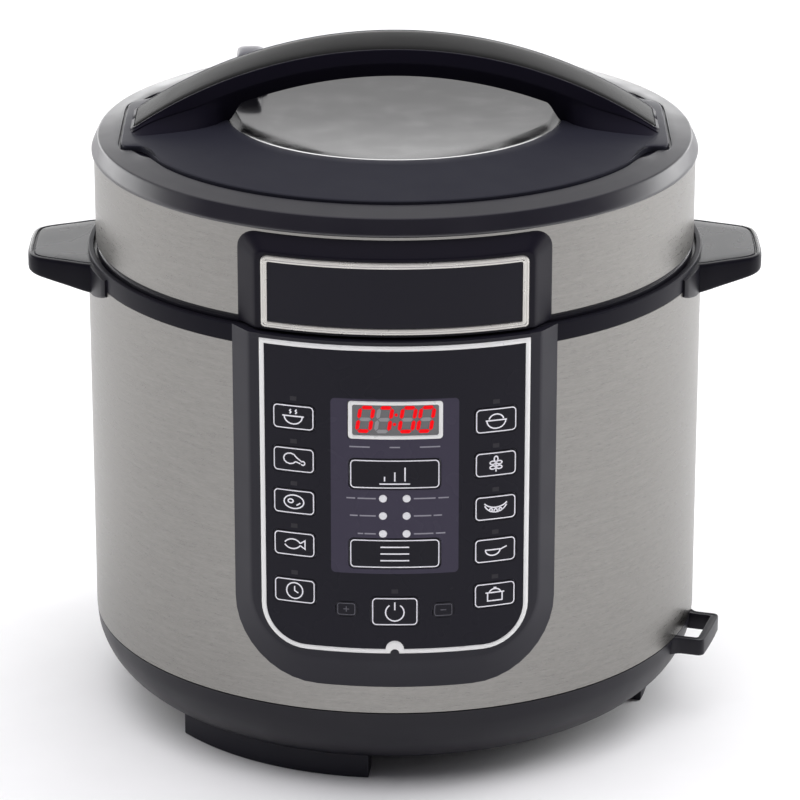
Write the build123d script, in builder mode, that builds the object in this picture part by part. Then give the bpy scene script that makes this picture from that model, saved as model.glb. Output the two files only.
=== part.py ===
from build123d import *
import os
from math import cos, radians, sin, sqrt

# Electric pressure cooker, millimetres. Z is up, the control panel faces -Y, and the origin is
# on the cooker's axis at the level of the feet. An azimuth is measured from the front (-Y)
# towards the right (+X).

# ---------------------------------------------------------------- driving dimensions
BODY_RADIUS = 143.0
SHEET = 0.6
FOOT_HEIGHT = 5.5
FOOT_RADIUS = 122.7
SLEEVE_BOTTOM = 42.2
SLEEVE_TOP = 212.9
RING_TOP = 221.6

POT_INNER_RADIUS = 110.6
POT_WALL = 1.2
POT_BOTTOM = 57.6
POT_RIM_TOP = 213.6
LINER_RADIUS = 113.0
FLANGE_TOP = 212.2
PLATE_TOP = 57.0

LID_RADIUS = 139.3
BAND_BOTTOM = 224.6
BAND_TOP = 266.0
CAP_INNER_RADIUS = 123.2
CAP_SHOULDER = 275.9
COVER_HOLE_RADIUS = 78.0
COVER_CROWN = 282.4
COVER_SLOPE = 0.121
LUGS = 6
LUG_ANGLE = 24.0

ARCH_CENTRE = 104.2
ARCH_TOP_RADIUS = 212.8
ARCH_CREASE_RADIUS = 206.3
ARCH_UNDER_RADIUS = 199.0
ARCH_HALF_LENGTH = 121.5
STRIP_HALF_WIDTH = 16.2
ARCH_HALF_WIDTH = 17.6
CREASE_HALF_WIDTH = 19.0
UNDER_HALF_WIDTH = 15.5

PANEL_RADIUS = 149.0
PANEL_BOTTOM = 55.0
PANEL_TOP = 221.2
FRAME_HALF_WIDTH = 59.5
FRAME_BOTTOM = 74.2
FRAME_TOP = 219.3
FRAME_LINE = 2.2
FRAME_CORNER = 20.0
NOTCH_RADIUS = 4.2

LID_PANEL_RADIUS = 146.0
LID_PANEL_BOTTOM = 222.2
LID_PANEL_TOP = 264.7
LID_FRAME_HALF_WIDTH = 58.6
LID_FRAME_BOTTOM = 223.5
LID_FRAME_TOP = 256.5
LID_FRAME_LINE = 2.8

VALVE_X = -68.5
VALVE_Y = 56.0
FLOAT_X = -25.0
FLOAT_Y = 84.0

KEY_FACE = 149.6
KEY_BACK = 148.6
KEY_GAP = 0.3
KEY_CORNER = 2.2

# key places on the panel: centre heights, then azimuth, height, width and height
SIDE_KEYS_LEFT = [184.3, 164.3, 144.4, 124.3, 101.9]
SIDE_KEYS_RIGHT = [182.9, 162.3, 141.6, 121.4, 100.0]
SIDE_KEY_AZIMUTH = 17.35
SIDE_KEY_SIZE = (19.6, 12.0)
CENTRE_KEYS = {
    "key_level": (0.0, 159.9, 40.4, 14.2),
    "key_menu": (0.0, 122.2, 40.6, 14.2),
    "key_cancel": (0.0, 94.5, 21.2, 14.0),
    "key_plus": (-8.3, 95.2, 9.2, 6.8),
    "key_minus": (8.3, 94.8, 9.2, 6.8),
}
DISPLAY_SIZE = (41.8, 17.6)
DISPLAY_HEIGHT = 185.1

os.makedirs("parts", exist_ok=True)


# ---------------------------------------------------------------- shared helpers
def save(piece, name):
    """Label a finished piece and write it as its own STEP file."""
    piece.part.label = name
    export_step(piece.part, f"parts/{name}.step")


def radial_plane(azimuth):
    """Vertical plane through the axis: local x is the radius, local y is the height."""
    angle = radians(azimuth - 90)
    return Plane(
        origin=(0, 0, 0),
        x_dir=(cos(angle), sin(angle), 0),
        z_dir=(sin(angle), -cos(angle), 0),
    )


def facing_plane(azimuth, radius, height):
    """Vertical plane whose normal points outward at an azimuth, seen upright from outside."""
    angle = radians(azimuth)
    return Plane(
        origin=(radius * sin(angle), -radius * cos(angle), height),
        x_dir=(cos(angle), sin(angle), 0),
        z_dir=(sin(angle), -cos(angle), 0),
    )


def front_plane(distance):
    """Plane facing the front, distance mm before the axis: local y is the height."""
    return Plane(origin=(0, -distance, 0), x_dir=(1, 0, 0), z_dir=(0, -1, 0))


def turned(outline, start=0.0, arc=360.0, mode=Mode.ADD):
    """Revolve a closed outline of (radius, height) points from an azimuth through an arc."""
    with BuildSketch(radial_plane(start)) as profile:
        with BuildLine():
            Polyline(*outline, close=True)
        make_face()
    revolve(profile.sketch, axis=Axis.Z, revolution_arc=arc, mode=mode)


def block_outline(inner, outer, bottom, top):
    """Rectangle between two radii and two heights."""
    return [(inner, bottom), (outer, bottom), (outer, top), (inner, top)]


def tube(inner, outer, bottom, top, start=0.0, arc=360.0, mode=Mode.ADD):
    turned(block_outline(inner, outer, bottom, top), start, arc, mode)


def box(low, high, mode=Mode.ADD):
    """Box between two corners."""
    size = [b - a for a, b in zip(low, high)]
    centre = [(a + b) / 2 for a, b in zip(low, high)]
    with Locations(tuple(centre)):
        Box(*size, mode=mode)


def pad_prism(azimuth, height, width, tall, corner, mode=Mode.ADD, grow=0.0):
    """Rounded rectangle pushed outward through the panel wall at an azimuth."""
    with BuildSketch(facing_plane(azimuth, PANEL_RADIUS - 6, height)) as outline:
        RectangleRounded(width + 2 * grow, tall + 2 * grow, corner + grow)
    extrude(outline.sketch, amount=12, mode=mode)


def on_arch(radius, x):
    """Height of an arch circle of a radius at a distance x from the middle."""
    return ARCH_CENTRE + sqrt(radius**2 - x**2)


def cover_height(radius):
    """Height of the lid cover's sloping top at a radius."""
    return COVER_CROWN - COVER_SLOPE * (radius - COVER_HOLE_RADIUS)


def bowl(edge_radius, edge_height, flat_radius, flat_height, mode=Mode.ADD):
    """Round bowl: upright edge, full corner, flat underside."""
    corner = 0.815
    with BuildSketch(radial_plane(90)) as half:
        with BuildLine():
            Line((0, flat_height), (flat_radius, flat_height))
            Bezier(
                (flat_radius, flat_height),
                (flat_radius + corner * (edge_radius - flat_radius), flat_height),
                (edge_radius, edge_height - corner * (edge_height - flat_height)),
                (edge_radius, edge_height),
            )
            Polyline((edge_radius, edge_height), (0, edge_height), (0, flat_height))
        make_face()
    revolve(half.sketch, axis=Axis.Z, mode=mode)


def all_keys():
    """Name, azimuth, height, width and height of every key."""
    keys = []
    for side, sign, heights in (("l", -1, SIDE_KEYS_LEFT), ("r", 1, SIDE_KEYS_RIGHT)):
        for row, height in enumerate(heights, start=1):
            keys.append((f"key_{side}{row}", sign * SIDE_KEY_AZIMUTH, height, *SIDE_KEY_SIZE))
    for name, place in CENTRE_KEYS.items():
        keys.append((name, *place))
    return keys


LAMP_HEIGHTS = (148.4, 140.2, 131.7)
LAMP_AZIMUTHS = (-2.0, 2.0)
LAMP_RADIUS = 1.85


def lamp_prisms(mode=Mode.ADD):
    """Round lamps pushed outward through the panel wall."""
    for azimuth in LAMP_AZIMUTHS:
        for height in LAMP_HEIGHTS:
            with BuildSketch(facing_plane(azimuth, PANEL_RADIUS - 6, height)) as lamp:
                Circle(LAMP_RADIUS)
            extrude(lamp.sketch, amount=12, mode=mode)


# ---------------------------------------------------------------- base
BOWL_FLAT_RADIUS = 89.0
BOWL_WALL = 2.6
BOTTOM_OPENING = 80.0
INLET_HALF_WIDTH = 15.0
INLET_BOTTOM = 16.5
INLET_TOP = 40.0
INLET_FACE = 141.2
COVER_PLATE_RADIUS = 86.0

with BuildPart() as bowl_volume:
    bowl(BODY_RADIUS, SLEEVE_BOTTOM, BOWL_FLAT_RADIUS, FOOT_HEIGHT)

with BuildPart() as base_shell:
    bowl(BODY_RADIUS, SLEEVE_BOTTOM, BOWL_FLAT_RADIUS, FOOT_HEIGHT)
    bowl(
        BODY_RADIUS - BOWL_WALL,
        SLEEVE_BOTTOM,
        BOWL_FLAT_RADIUS,
        FOOT_HEIGHT + BOWL_WALL,
        Mode.SUBTRACT,
    )
    tube(0, BOTTOM_OPENING, 0, SLEEVE_BOTTOM, mode=Mode.SUBTRACT)
    # locating lip inside the steel sleeve
    tube(BODY_RADIUS - BOWL_WALL, BODY_RADIUS - SHEET, SLEEVE_BOTTOM - 4, SLEEVE_BOTTOM + 7)
    # pocket for the power inlet
    box(
        (-INLET_HALF_WIDTH, 120, INLET_BOTTOM),
        (INLET_HALF_WIDTH, 150, INLET_TOP),
        mode=Mode.SUBTRACT,
    )
save(base_shell, "base_shell")

with BuildPart() as bottom_cover:
    tube(0, COVER_PLATE_RADIUS, FOOT_HEIGHT - 1.8, FOOT_HEIGHT)
    with BuildSketch(Plane.XY.offset(FOOT_HEIGHT - 2)):
        for ring_radius, count in ((30, 8), (46, 12), (62, 16)):
            with PolarLocations(ring_radius, count):
                SlotOverall(11, 3, rotation=0)
    extrude(amount=3, mode=Mode.SUBTRACT)
    with BuildSketch(Plane.XY.offset(FOOT_HEIGHT - 2)):
        with PolarLocations(83, 3, start_angle=30):
            Circle(1.7)
    extrude(amount=3, mode=Mode.SUBTRACT)
save(bottom_cover, "bottom_cover")

with BuildPart() as cover_screws:
    with BuildSketch(Plane.XY.offset(FOOT_HEIGHT - 3.4)):
        with PolarLocations(83, 3, start_angle=30):
            Circle(3.2)
    extrude(amount=1.6)
    with BuildSketch(Plane.XY.offset(FOOT_HEIGHT - 1.8)):
        with PolarLocations(83, 3, start_angle=30):
            Circle(1.5)
    extrude(amount=1.8)
save(cover_screws, "cover_screws")

FOOT_CENTRES = (-29.5, 97.0, 204.0)
FOOT_SPAN = 48.0

with BuildPart() as feet:
    for centre in FOOT_CENTRES:
        tube(FOOT_RADIUS - 14, FOOT_RADIUS, 0, 12, centre - FOOT_SPAN / 2, FOOT_SPAN)
    fillet(feet.edges().filter_by(Axis.Z), radius=1.5)
    add(bowl_volume.part, mode=Mode.SUBTRACT)
save(feet, "feet")

DOCK_HALF_WIDTH = 27.0
DOCK_BOTTOM = 158.0
DOCK_TOP = 206.0

with BuildPart() as outer_sleeve:
    tube(BODY_RADIUS - SHEET, BODY_RADIUS, SLEEVE_BOTTOM, SLEEVE_TOP)
    # window behind the control panel and opening for the cup dock
    box((-48, -150, 76), (48, -100, 200), mode=Mode.SUBTRACT)
    box(
        (-DOCK_HALF_WIDTH, 100, DOCK_BOTTOM),
        (DOCK_HALF_WIDTH, 160, DOCK_TOP),
        mode=Mode.SUBTRACT,
    )
save(outer_sleeve, "outer_sleeve")

RIM_SEAT_RADIUS = 140.3
RIM_SEAT_HEIGHT = 214.2
SOCKET_RADIUS = 131.4

with BuildPart() as top_ring:
    turned(
        [
            (BODY_RADIUS, SLEEVE_TOP),
            (BODY_RADIUS, RING_TOP - 0.6),
            (BODY_RADIUS - 0.6, RING_TOP),
            (RIM_SEAT_RADIUS, RING_TOP),
            (RIM_SEAT_RADIUS, RIM_SEAT_HEIGHT),
            (SOCKET_RADIUS, RIM_SEAT_HEIGHT),
            (SOCKET_RADIUS, FLANGE_TOP - 1),
            (LINER_RADIUS + 1.4, FLANGE_TOP - 1),
            (LINER_RADIUS + 1.4, FLANGE_TOP - 4),
            (136.0, FLANGE_TOP - 4),
            (136.0, SLEEVE_TOP - 5.5),
            (BODY_RADIUS - SHEET, SLEEVE_TOP - 5.5),
            (BODY_RADIUS - SHEET, SLEEVE_TOP),
        ]
    )
save(top_ring, "top_ring")

# ---------------------------------------------------------------- side handles
HANDLE_TIP = 169.5
HANDLE_TOP = 219.0
HANDLE_ROOT_BOTTOM = 204.6
HANDLE_TIP_BOTTOM = 210.6
ROOT_HALF_WIDTH = 35.5
TIP_HALF_WIDTH = 23.5
FLANGE_HALF_ANGLE = 23.5


def side_handle(name, side):
    """Flat grip on one side, with a root flange that hugs the sleeve and the ring."""
    with BuildPart() as handle:
        with BuildSketch(Plane.XY.offset(HANDLE_ROOT_BOTTOM)):
            with BuildLine():
                Polyline(
                    (side * 120, ROOT_HALF_WIDTH + 3),
                    (side * 137, ROOT_HALF_WIDTH),
                    (side * 152, ROOT_HALF_WIDTH - 5),
                    (side * HANDLE_TIP, TIP_HALF_WIDTH),
                )
                ThreePointArc(
                    (side * HANDLE_TIP, TIP_HALF_WIDTH),
                    (side * (HANDLE_TIP + 1.2), 0),
                    (side * HANDLE_TIP, -TIP_HALF_WIDTH),
                )
                Polyline(
                    (side * HANDLE_TIP, -TIP_HALF_WIDTH),
                    (side * 152, -ROOT_HALF_WIDTH + 5),
                    (side * 137, -ROOT_HALF_WIDTH),
                    (side * 120, -ROOT_HALF_WIDTH - 3),
                    (side * 120, ROOT_HALF_WIDTH + 3),
                )
            face = make_face()
            tips = face.vertices().filter_by(lambda v: abs(v.X) > HANDLE_TIP - 1)
            fillet(tips, radius=9)
        extrude(amount=HANDLE_TOP - HANDLE_ROOT_BOTTOM)
        # underside rises towards the tip
        with BuildSketch(Plane.XZ.offset(-60)) as under:
            with BuildLine():
                Polyline(
                    (side * 138, HANDLE_ROOT_BOTTOM - 1),
                    (side * 138, HANDLE_ROOT_BOTTOM),
                    (side * (HANDLE_TIP + 2), HANDLE_TIP_BOTTOM),
                    (side * (HANDLE_TIP + 2), HANDLE_ROOT_BOTTOM - 1),
                    close=True,
                )
            make_face()
        extrude(under.sketch, amount=120, mode=Mode.SUBTRACT)
        tube(
            BODY_RADIUS,
            BODY_RADIUS + 1.6,
            HANDLE_ROOT_BOTTOM,
            HANDLE_TOP,
            side * 90 - FLANGE_HALF_ANGLE,
            2 * FLANGE_HALF_ANGLE,
        )
        # groove that sets off the top plate
        with BuildSketch(Plane.XY.offset(HANDLE_TOP - 0.7)) as groove:
            with BuildLine():
                Polyline(
                    (side * 146.5, 30.2),
                    (side * 152, 28.4),
                    (side * (HANDLE_TIP - 2.4), TIP_HALF_WIDTH - 1.6),
                    (side * (HANDLE_TIP - 2.4), -TIP_HALF_WIDTH + 1.6),
                    (side * 152, -28.4),
                    (side * 146.5, -30.2),
                    close=True,
                )
            plate = make_face()
            fillet(plate.vertices().group_by(Axis.X)[-1 if side > 0 else 0], radius=7.5)
            offset(amount=-0.9, kind=Kind.INTERSECTION, mode=Mode.SUBTRACT)
        extrude(groove.sketch, amount=1, mode=Mode.SUBTRACT)
        tube(0, BODY_RADIUS, 190, 230, mode=Mode.SUBTRACT)
    save(handle, name)


side_handle("side_handle_left", -1)
side_handle("side_handle_right", 1)

# ---------------------------------------------------------------- spoon holder
SPOON_AZIMUTH = 73.3
SPOON_TOP = 42.0
SPOON_BOTTOM = 34.0
SPOON_OUT = 156.0

with BuildPart() as spoon_holder:
    with BuildSketch(Plane.XY.offset(SPOON_BOTTOM)):
        with Locations(Plane.XY.rotated((0, 0, SPOON_AZIMUTH - 90)).location):
            with Locations((140 + (SPOON_OUT - 140) / 2, 0)):
                RectangleRounded(SPOON_OUT - 140, 34, 2.4)
    extrude(amount=SPOON_TOP - SPOON_BOTTOM)
    with BuildSketch(Plane.XY.offset(SPOON_BOTTOM)):
        with Locations(Plane.XY.rotated((0, 0, SPOON_AZIMUTH - 90)).location):
            with Locations((147.4, 0)):
                RectangleRounded(10.2, 27, 1.2)
    extrude(amount=SPOON_TOP - SPOON_BOTTOM, mode=Mode.SUBTRACT)
    add(bowl_volume.part, mode=Mode.SUBTRACT)
save(spoon_holder, "spoon_holder")

# ---------------------------------------------------------------- power inlet
PIN_TIP = 136.0

with BuildPart() as power_inlet:
    box(
        (-INLET_HALF_WIDTH, 121, INLET_BOTTOM),
        (INLET_HALF_WIDTH, INLET_FACE, INLET_TOP),
    )
    with BuildSketch(Plane.XZ.offset(-INLET_FACE)):
        with Locations((0, (INLET_BOTTOM + INLET_TOP) / 2)):
            RectangleRounded(25.2, 17.4, 2.5)
    extrude(amount=16, mode=Mode.SUBTRACT)
save(power_inlet, "power_inlet")

with BuildPart() as inlet_pins:
    for x, rise in ((-7, 2), (0, -2), (7, 2)):
        middle = (INLET_BOTTOM + INLET_TOP) / 2 + rise
        box((x - 1, INLET_FACE - 16, middle - 2), (x + 1, PIN_TIP, middle + 2))
save(inlet_pins, "inlet_pins")

# ---------------------------------------------------------------- pot liner, lock and heater
with BuildPart() as outer_pot:
    turned(
        [
            (14.0, 44.0),
            (LINER_RADIUS + 1, 44.0),
            (LINER_RADIUS + 1, FLANGE_TOP - 1),
            (SOCKET_RADIUS - 0.2, FLANGE_TOP - 1),
            (SOCKET_RADIUS - 0.2, FLANGE_TOP),
            (LINER_RADIUS, FLANGE_TOP),
            (LINER_RADIUS, 45.0),
            (14.0, 45.0),
        ]
    )
save(outer_pot, "outer_pot")

with BuildPart() as locking_ring:
    tube(124.6, 131.2, FLANGE_TOP, FLANGE_TOP + 1.2)
    tube(129.8, 131.2, FLANGE_TOP + 1.2, 219.4)
    for lug in range(LUGS):
        middle = lug * 360 / LUGS + 30
        tube(124.0, 130.5, 217.6, 219.4, middle - LUG_ANGLE / 2, LUG_ANGLE)
save(locking_ring, "locking_ring")

with BuildPart() as heating_plate:
    tube(17.2, 92, 48.6, PLATE_TOP)
    tube(70, 74, 45, 48.6)
    tube(24, 27, 45, 48.6)
save(heating_plate, "heating_plate")

with BuildPart() as temperature_sensor:
    tube(0, 16.4, 51.4, PLATE_TOP - 0.2)
    tube(0, 7, 36, 51.4)
save(temperature_sensor, "temperature_sensor")

with BuildPart() as inner_pot:
    outer = POT_INNER_RADIUS + POT_WALL
    with BuildSketch(radial_plane(90)):
        with BuildLine():
            Polyline((0, POT_RIM_TOP), (0, POT_BOTTOM), (outer, POT_BOTTOM), (outer, POT_RIM_TOP))
            Line((outer, POT_RIM_TOP), (0, POT_RIM_TOP))
        solid_face = make_face()
        fillet(solid_face.vertices().group_by(Axis.Y)[0].sort_by(Axis.X)[-1], radius=13)
    revolve(axis=Axis.Z)
    with BuildSketch(radial_plane(90)) as cavity:
        floor = POT_BOTTOM + 1.8
        with BuildLine():
            Polyline(
                (0, POT_RIM_TOP + 1),
                (0, floor),
                (POT_INNER_RADIUS, floor),
                (POT_INNER_RADIUS, POT_RIM_TOP + 1),
                close=True,
            )
        hollow = make_face()
        fillet(hollow.vertices().group_by(Axis.Y)[0].sort_by(Axis.X)[-1], radius=11.8)
    revolve(cavity.sketch, axis=Axis.Z, mode=Mode.SUBTRACT)
    tube(outer - 0.4, 118.4, POT_RIM_TOP - 1, POT_RIM_TOP)
save(inner_pot, "inner_pot")

# ---------------------------------------------------------------- electronics
with BuildPart() as power_board:
    box((-58, 8, 14), (32, 62, 15.6))
    for x in (-50, 24):
        for y in (14, 54):
            with BuildSketch(Plane.XY.offset(FOOT_HEIGHT)) as post:
                with Locations((x, y)):
                    Circle(3)
            extrude(post.sketch, amount=14 - FOOT_HEIGHT)
    box((-48, 20, 15.6), (-26, 46, 33))
    box((-18, 22, 15.6), (0, 38, 30))
    box((8, 22, 15.6), (24, 52, 28))
save(power_board, "power_board")

BOARD_FRONT = 131.0
MEMBRANE_BACK = 147.2

with BuildPart() as control_board:
    box((-45, -BOARD_FRONT, 84), (45, -BOARD_FRONT + 1.6, 196))
    box((-12, -BOARD_FRONT + 1.6, 120), (10, -BOARD_FRONT + 4, 142))
    for x in (-38, 38):
        for z in (88, 192):
            reach = sqrt(MEMBRANE_BACK**2 - (abs(x) + 3) ** 2)
            box((x - 3, -reach, z - 3), (x + 3, -BOARD_FRONT, z + 3))
save(control_board, "control_board")

with BuildPart() as display_module:
    box((-20.5, -144.6, DISPLAY_HEIGHT - 8.4), (20.5, -BOARD_FRONT, DISPLAY_HEIGHT + 8.4))
save(display_module, "display_module")

# ---------------------------------------------------------------- control panel
PANEL_EDGE_X = 71.7
PANEL_EDGE_Y = sqrt(BODY_RADIUS**2 - PANEL_EDGE_X**2)
PANEL_DRAFT = 35.0
FASCIA_SEAT = 147.8
FASCIA_FACE = PANEL_RADIUS + 0.4


def panel_outline(half_width, bottom, top, corner):
    """Square-topped outline with two round bottom corners, in the sketch in hand."""
    with BuildLine() as border:
        Polyline(
            (-half_width, top),
            (-half_width, bottom),
            (half_width, bottom),
            (half_width, top),
            close=True,
        )
    outline = make_face(border.edges())
    fillet(outline.vertices().group_by(Axis.Y)[0], radius=corner)


def frame_edge(inset):
    """Outline of the silver frame moved inward by an inset, with its bottom notch."""
    with BuildSketch(front_plane(120)) as edge:
        panel_outline(
            FRAME_HALF_WIDTH - inset,
            FRAME_BOTTOM + inset,
            FRAME_TOP - inset,
            FRAME_CORNER - inset,
        )
        with Locations((0, FRAME_BOTTOM)):
            Circle(NOTCH_RADIUS - FRAME_LINE + inset, mode=Mode.SUBTRACT)
    return edge.sketch


with BuildPart() as panel_housing:
    with BuildSketch(front_plane(PANEL_EDGE_Y)):
        drop = 11.5
        with BuildLine():
            Polyline(
                (-PANEL_EDGE_X, 53), (-PANEL_EDGE_X, 240), (PANEL_EDGE_X, 240), (PANEL_EDGE_X, 53)
            )
            ThreePointArc((-PANEL_EDGE_X, 53), (0, 53 - drop), (PANEL_EDGE_X, 53))
        outline = make_face()
        fillet(outline.vertices().group_by(Axis.Y)[0], radius=38)
    extrude(amount=28, taper=PANEL_DRAFT)
    turned(
        [
            (BODY_RADIUS, PANEL_BOTTOM),
            (PANEL_RADIUS, PANEL_BOTTOM + 16),
            (PANEL_RADIUS, PANEL_TOP),
            (BODY_RADIUS, PANEL_TOP),
        ],
        mode=Mode.INTERSECT,
    )
    # hollow for the board, then the opening and the seat for the fascia
    with BuildSketch(front_plane(120)) as hollow:
        panel_outline(54, 80, 208, 14)
    extrude(hollow.sketch, amount=40, mode=Mode.SUBTRACT)
    with BuildPart(mode=Mode.PRIVATE) as seat:
        extrude(frame_edge(0), amount=40)
        tube(FASCIA_SEAT, PANEL_RADIUS + 2, 60, 230, mode=Mode.INTERSECT)
    add(seat.part, mode=Mode.SUBTRACT)
save(panel_housing, "panel_housing")

with BuildPart() as panel_frame:
    extrude(frame_edge(0), amount=40)
    extrude(frame_edge(FRAME_LINE), amount=40, mode=Mode.SUBTRACT)
    tube(FASCIA_SEAT, PANEL_RADIUS + 0.7, 60, 230, mode=Mode.INTERSECT)
save(panel_frame, "panel_frame")

with BuildPart() as fascia:
    extrude(frame_edge(FRAME_LINE), amount=40)
    tube(FASCIA_SEAT, FASCIA_FACE, 60, 230, mode=Mode.INTERSECT)
    for key, azimuth, height, width, tall in all_keys():
        pad_prism(azimuth, height, width, tall, KEY_CORNER, Mode.SUBTRACT, KEY_GAP)
    pad_prism(0, DISPLAY_HEIGHT, *DISPLAY_SIZE, 0.8, Mode.SUBTRACT)
    lamp_prisms(Mode.SUBTRACT)
save(fascia, "fascia")

with BuildPart() as display_window:
    pad_prism(0, DISPLAY_HEIGHT, *DISPLAY_SIZE, 0.8)
    tube(FASCIA_SEAT, FASCIA_FACE, 60, 230, mode=Mode.INTERSECT)
save(display_window, "display_window")

with BuildPart() as key_membrane:
    with BuildSketch(front_plane(120)) as sheet:
        panel_outline(53.8, 80.2, 207.8, 14)
    extrude(sheet.sketch, amount=40)
    tube(MEMBRANE_BACK, FASCIA_SEAT, 60, 230, mode=Mode.INTERSECT)
    pad_prism(0, DISPLAY_HEIGHT, *DISPLAY_SIZE, 0.8, Mode.SUBTRACT)
save(key_membrane, "key_membrane")

with BuildPart() as menu_lamps:
    lamp_prisms()
    tube(FASCIA_SEAT, FASCIA_FACE, 60, 230, mode=Mode.INTERSECT)
save(menu_lamps, "menu_lamps")

for key, azimuth, height, width, tall in all_keys():
    with BuildPart() as pad:
        pad_prism(azimuth, height, width, tall, KEY_CORNER)
        tube(KEY_BACK, KEY_FACE, 60, 230, mode=Mode.INTERSECT)
    save(pad, key)

# ---------------------------------------------------------------- condensation cup
DOCK_BACK = 118.0
CUP_FACE = 149.6

with BuildPart() as cup_dock:
    box((-DOCK_HALF_WIDTH, DOCK_BACK, DOCK_BOTTOM), (DOCK_HALF_WIDTH, 150, DOCK_TOP))
    tube(0, BODY_RADIUS, DOCK_BOTTOM, DOCK_TOP, mode=Mode.INTERSECT)
    with BuildPart(mode=Mode.PRIVATE) as collar:
        box((-30, 120, DOCK_BOTTOM - 3), (30, 155, DOCK_TOP + 3))
        tube(BODY_RADIUS, BODY_RADIUS + 1.2, 100, 230, mode=Mode.INTERSECT)
    add(collar.part)
    box((-25.5, DOCK_BACK + 1.5, DOCK_BOTTOM + 1.5), (25.5, 160, DOCK_TOP - 1.5), Mode.SUBTRACT)
    # drip hole from the ring above
    box((-7, 126, DOCK_TOP - 2), (7, 133, DOCK_TOP + 1), Mode.SUBTRACT)
save(cup_dock, "cup_dock")

with BuildPart() as condensation_cup:
    box((-24.9, DOCK_BACK + 2.1, DOCK_BOTTOM + 2.1), (24.9, 155, DOCK_TOP - 2.1))
    tube(0, CUP_FACE, 100, 230, mode=Mode.INTERSECT)
    box((-23.2, DOCK_BACK + 3.8, DOCK_BOTTOM + 3.8), (23.2, 143.4, DOCK_TOP), Mode.SUBTRACT)
    with BuildPart(mode=Mode.PRIVATE) as front:
        box((-29, 130, DOCK_BOTTOM - 1), (29, 160, DOCK_TOP + 1))
        tube(BODY_RADIUS + 1.8, CUP_FACE, 100, 230, mode=Mode.INTERSECT)
    add(front.part)
    # finger scoop under the front lip
    with BuildSketch(Plane.XZ.offset(-CUP_FACE - 1)) as scoop:
        with Locations((0, DOCK_BOTTOM - 1)):
            RectangleRounded(30, 16, 5)
    extrude(scoop.sketch, amount=3.6, mode=Mode.SUBTRACT)
save(condensation_cup, "condensation_cup")

# ---------------------------------------------------------------- lid shells
CAP_LIP_RADIUS = 136.8
CAP_LEDGE = 274.2
EAR_FLOOR = 273.4
EAR_REACH = 125.2
EAR_HALF_WIDTH = 38.4

CAP_OUTLINE = [
    (LID_RADIUS - SHEET, 258.0),
    (LID_RADIUS - SHEET, BAND_TOP),
    (140.3, BAND_TOP),
    (140.5, 267.4),
    (137.5, 273.9),
    (CAP_INNER_RADIUS, CAP_SHOULDER),
    (CAP_INNER_RADIUS, CAP_LEDGE),
    (118.0, CAP_LEDGE),
    (118.0, 271.2),
    (135.2, 269.2),
    (CAP_LIP_RADIUS, 267.0),
    (CAP_LIP_RADIUS, 258.0),
]


def ears(outline, rounding, mode=Mode.ADD):
    """Tongues that carry the handle's ends; the outline runs along one side to the tip."""
    mirrored = [(x, -y) for x, y in reversed(outline)]
    for side in (-1, 1):
        with BuildSketch(Plane.XY.offset(EAR_FLOOR)) as plan:
            with BuildLine():
                Polyline(*[(side * x, y) for x, y in outline + mirrored], close=True)
            tip = make_face().vertices().sort_by(lambda v: abs(v.X))[-2:]
            fillet(tip, radius=rounding)
        extrude(plan.sketch, amount=8, mode=mode)


with BuildPart() as lid_cap:
    turned(CAP_OUTLINE)
    # recess for each ear, widened into a pocket beside it
    ears(
        [
            (100.0, 56.0),
            (107.6, 56.0),
            (113.8, 50.0),
            (118.8, EAR_HALF_WIDTH + 1.6),
            (EAR_REACH + 1.0, EAR_HALF_WIDTH + 1.0),
        ],
        4.0,
        Mode.SUBTRACT,
    )
save(lid_cap, "lid_cap")

with BuildPart() as lid_band:
    tube(LID_RADIUS - SHEET, LID_RADIUS, BAND_BOTTOM, BAND_TOP)
save(lid_band, "lid_band")

COVER_EDGE = CAP_INNER_RADIUS - 1.0
VALVE_SEAT_TOP = 282.6

with BuildPart() as lid_cover:
    ears(
        [
            (105.0, 50.0),
            (110.0, 50.0),
            (115.0, EAR_HALF_WIDTH),
            (EAR_REACH, EAR_HALF_WIDTH),
        ],
        4.0,
    )
    tube(100, COVER_EDGE, EAR_FLOOR, CAP_LEDGE, mode=Mode.SUBTRACT)
    turned(
        [
            (74.0, 279.0),
            (74.0, 280.6),
            (COVER_HOLE_RADIUS, 280.6),
            (COVER_HOLE_RADIUS, 290.0),
            (COVER_EDGE, 290.0),
            (COVER_EDGE, CAP_LEDGE),
            (118.0, CAP_LEDGE),
        ]
    )
    turned(
        [
            (60.0, cover_height(60)),
            (135.0, cover_height(135)),
            (135.0, 300.0),
            (60.0, 300.0),
        ],
        mode=Mode.SUBTRACT,
    )
    with BuildSketch(Plane.XY.offset(277)) as seat:
        with Locations((VALVE_X, VALVE_Y)):
            Circle(10.2)
    extrude(seat.sketch, amount=VALVE_SEAT_TOP - 277)
    with BuildSketch(Plane.XY.offset(270)) as holes:
        with Locations((VALVE_X, VALVE_Y)):
            Circle(6)
        with Locations((FLOAT_X, FLOAT_Y)):
            Circle(3.2)
    extrude(holes.sketch, amount=20, mode=Mode.SUBTRACT)
save(lid_cover, "lid_cover")

DISC_EDGE = COVER_HOLE_RADIUS - 0.3

with BuildPart() as lid_disc:
    with BuildSketch(radial_plane(90)):
        with BuildLine():
            ThreePointArc((0, 280.3), (39, 280.6), (DISC_EDGE, 281.7))
            Polyline(
                (DISC_EDGE, 281.7), (DISC_EDGE, 280.6), (73.9, 280.6), (0, 279.5), (0, 280.3)
            )
        make_face()
    revolve(axis=Axis.Z)
save(lid_disc, "lid_disc")

SKIRT_RADIUS = 121.3
LOWER_RING_BOTTOM = 219.9

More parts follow.
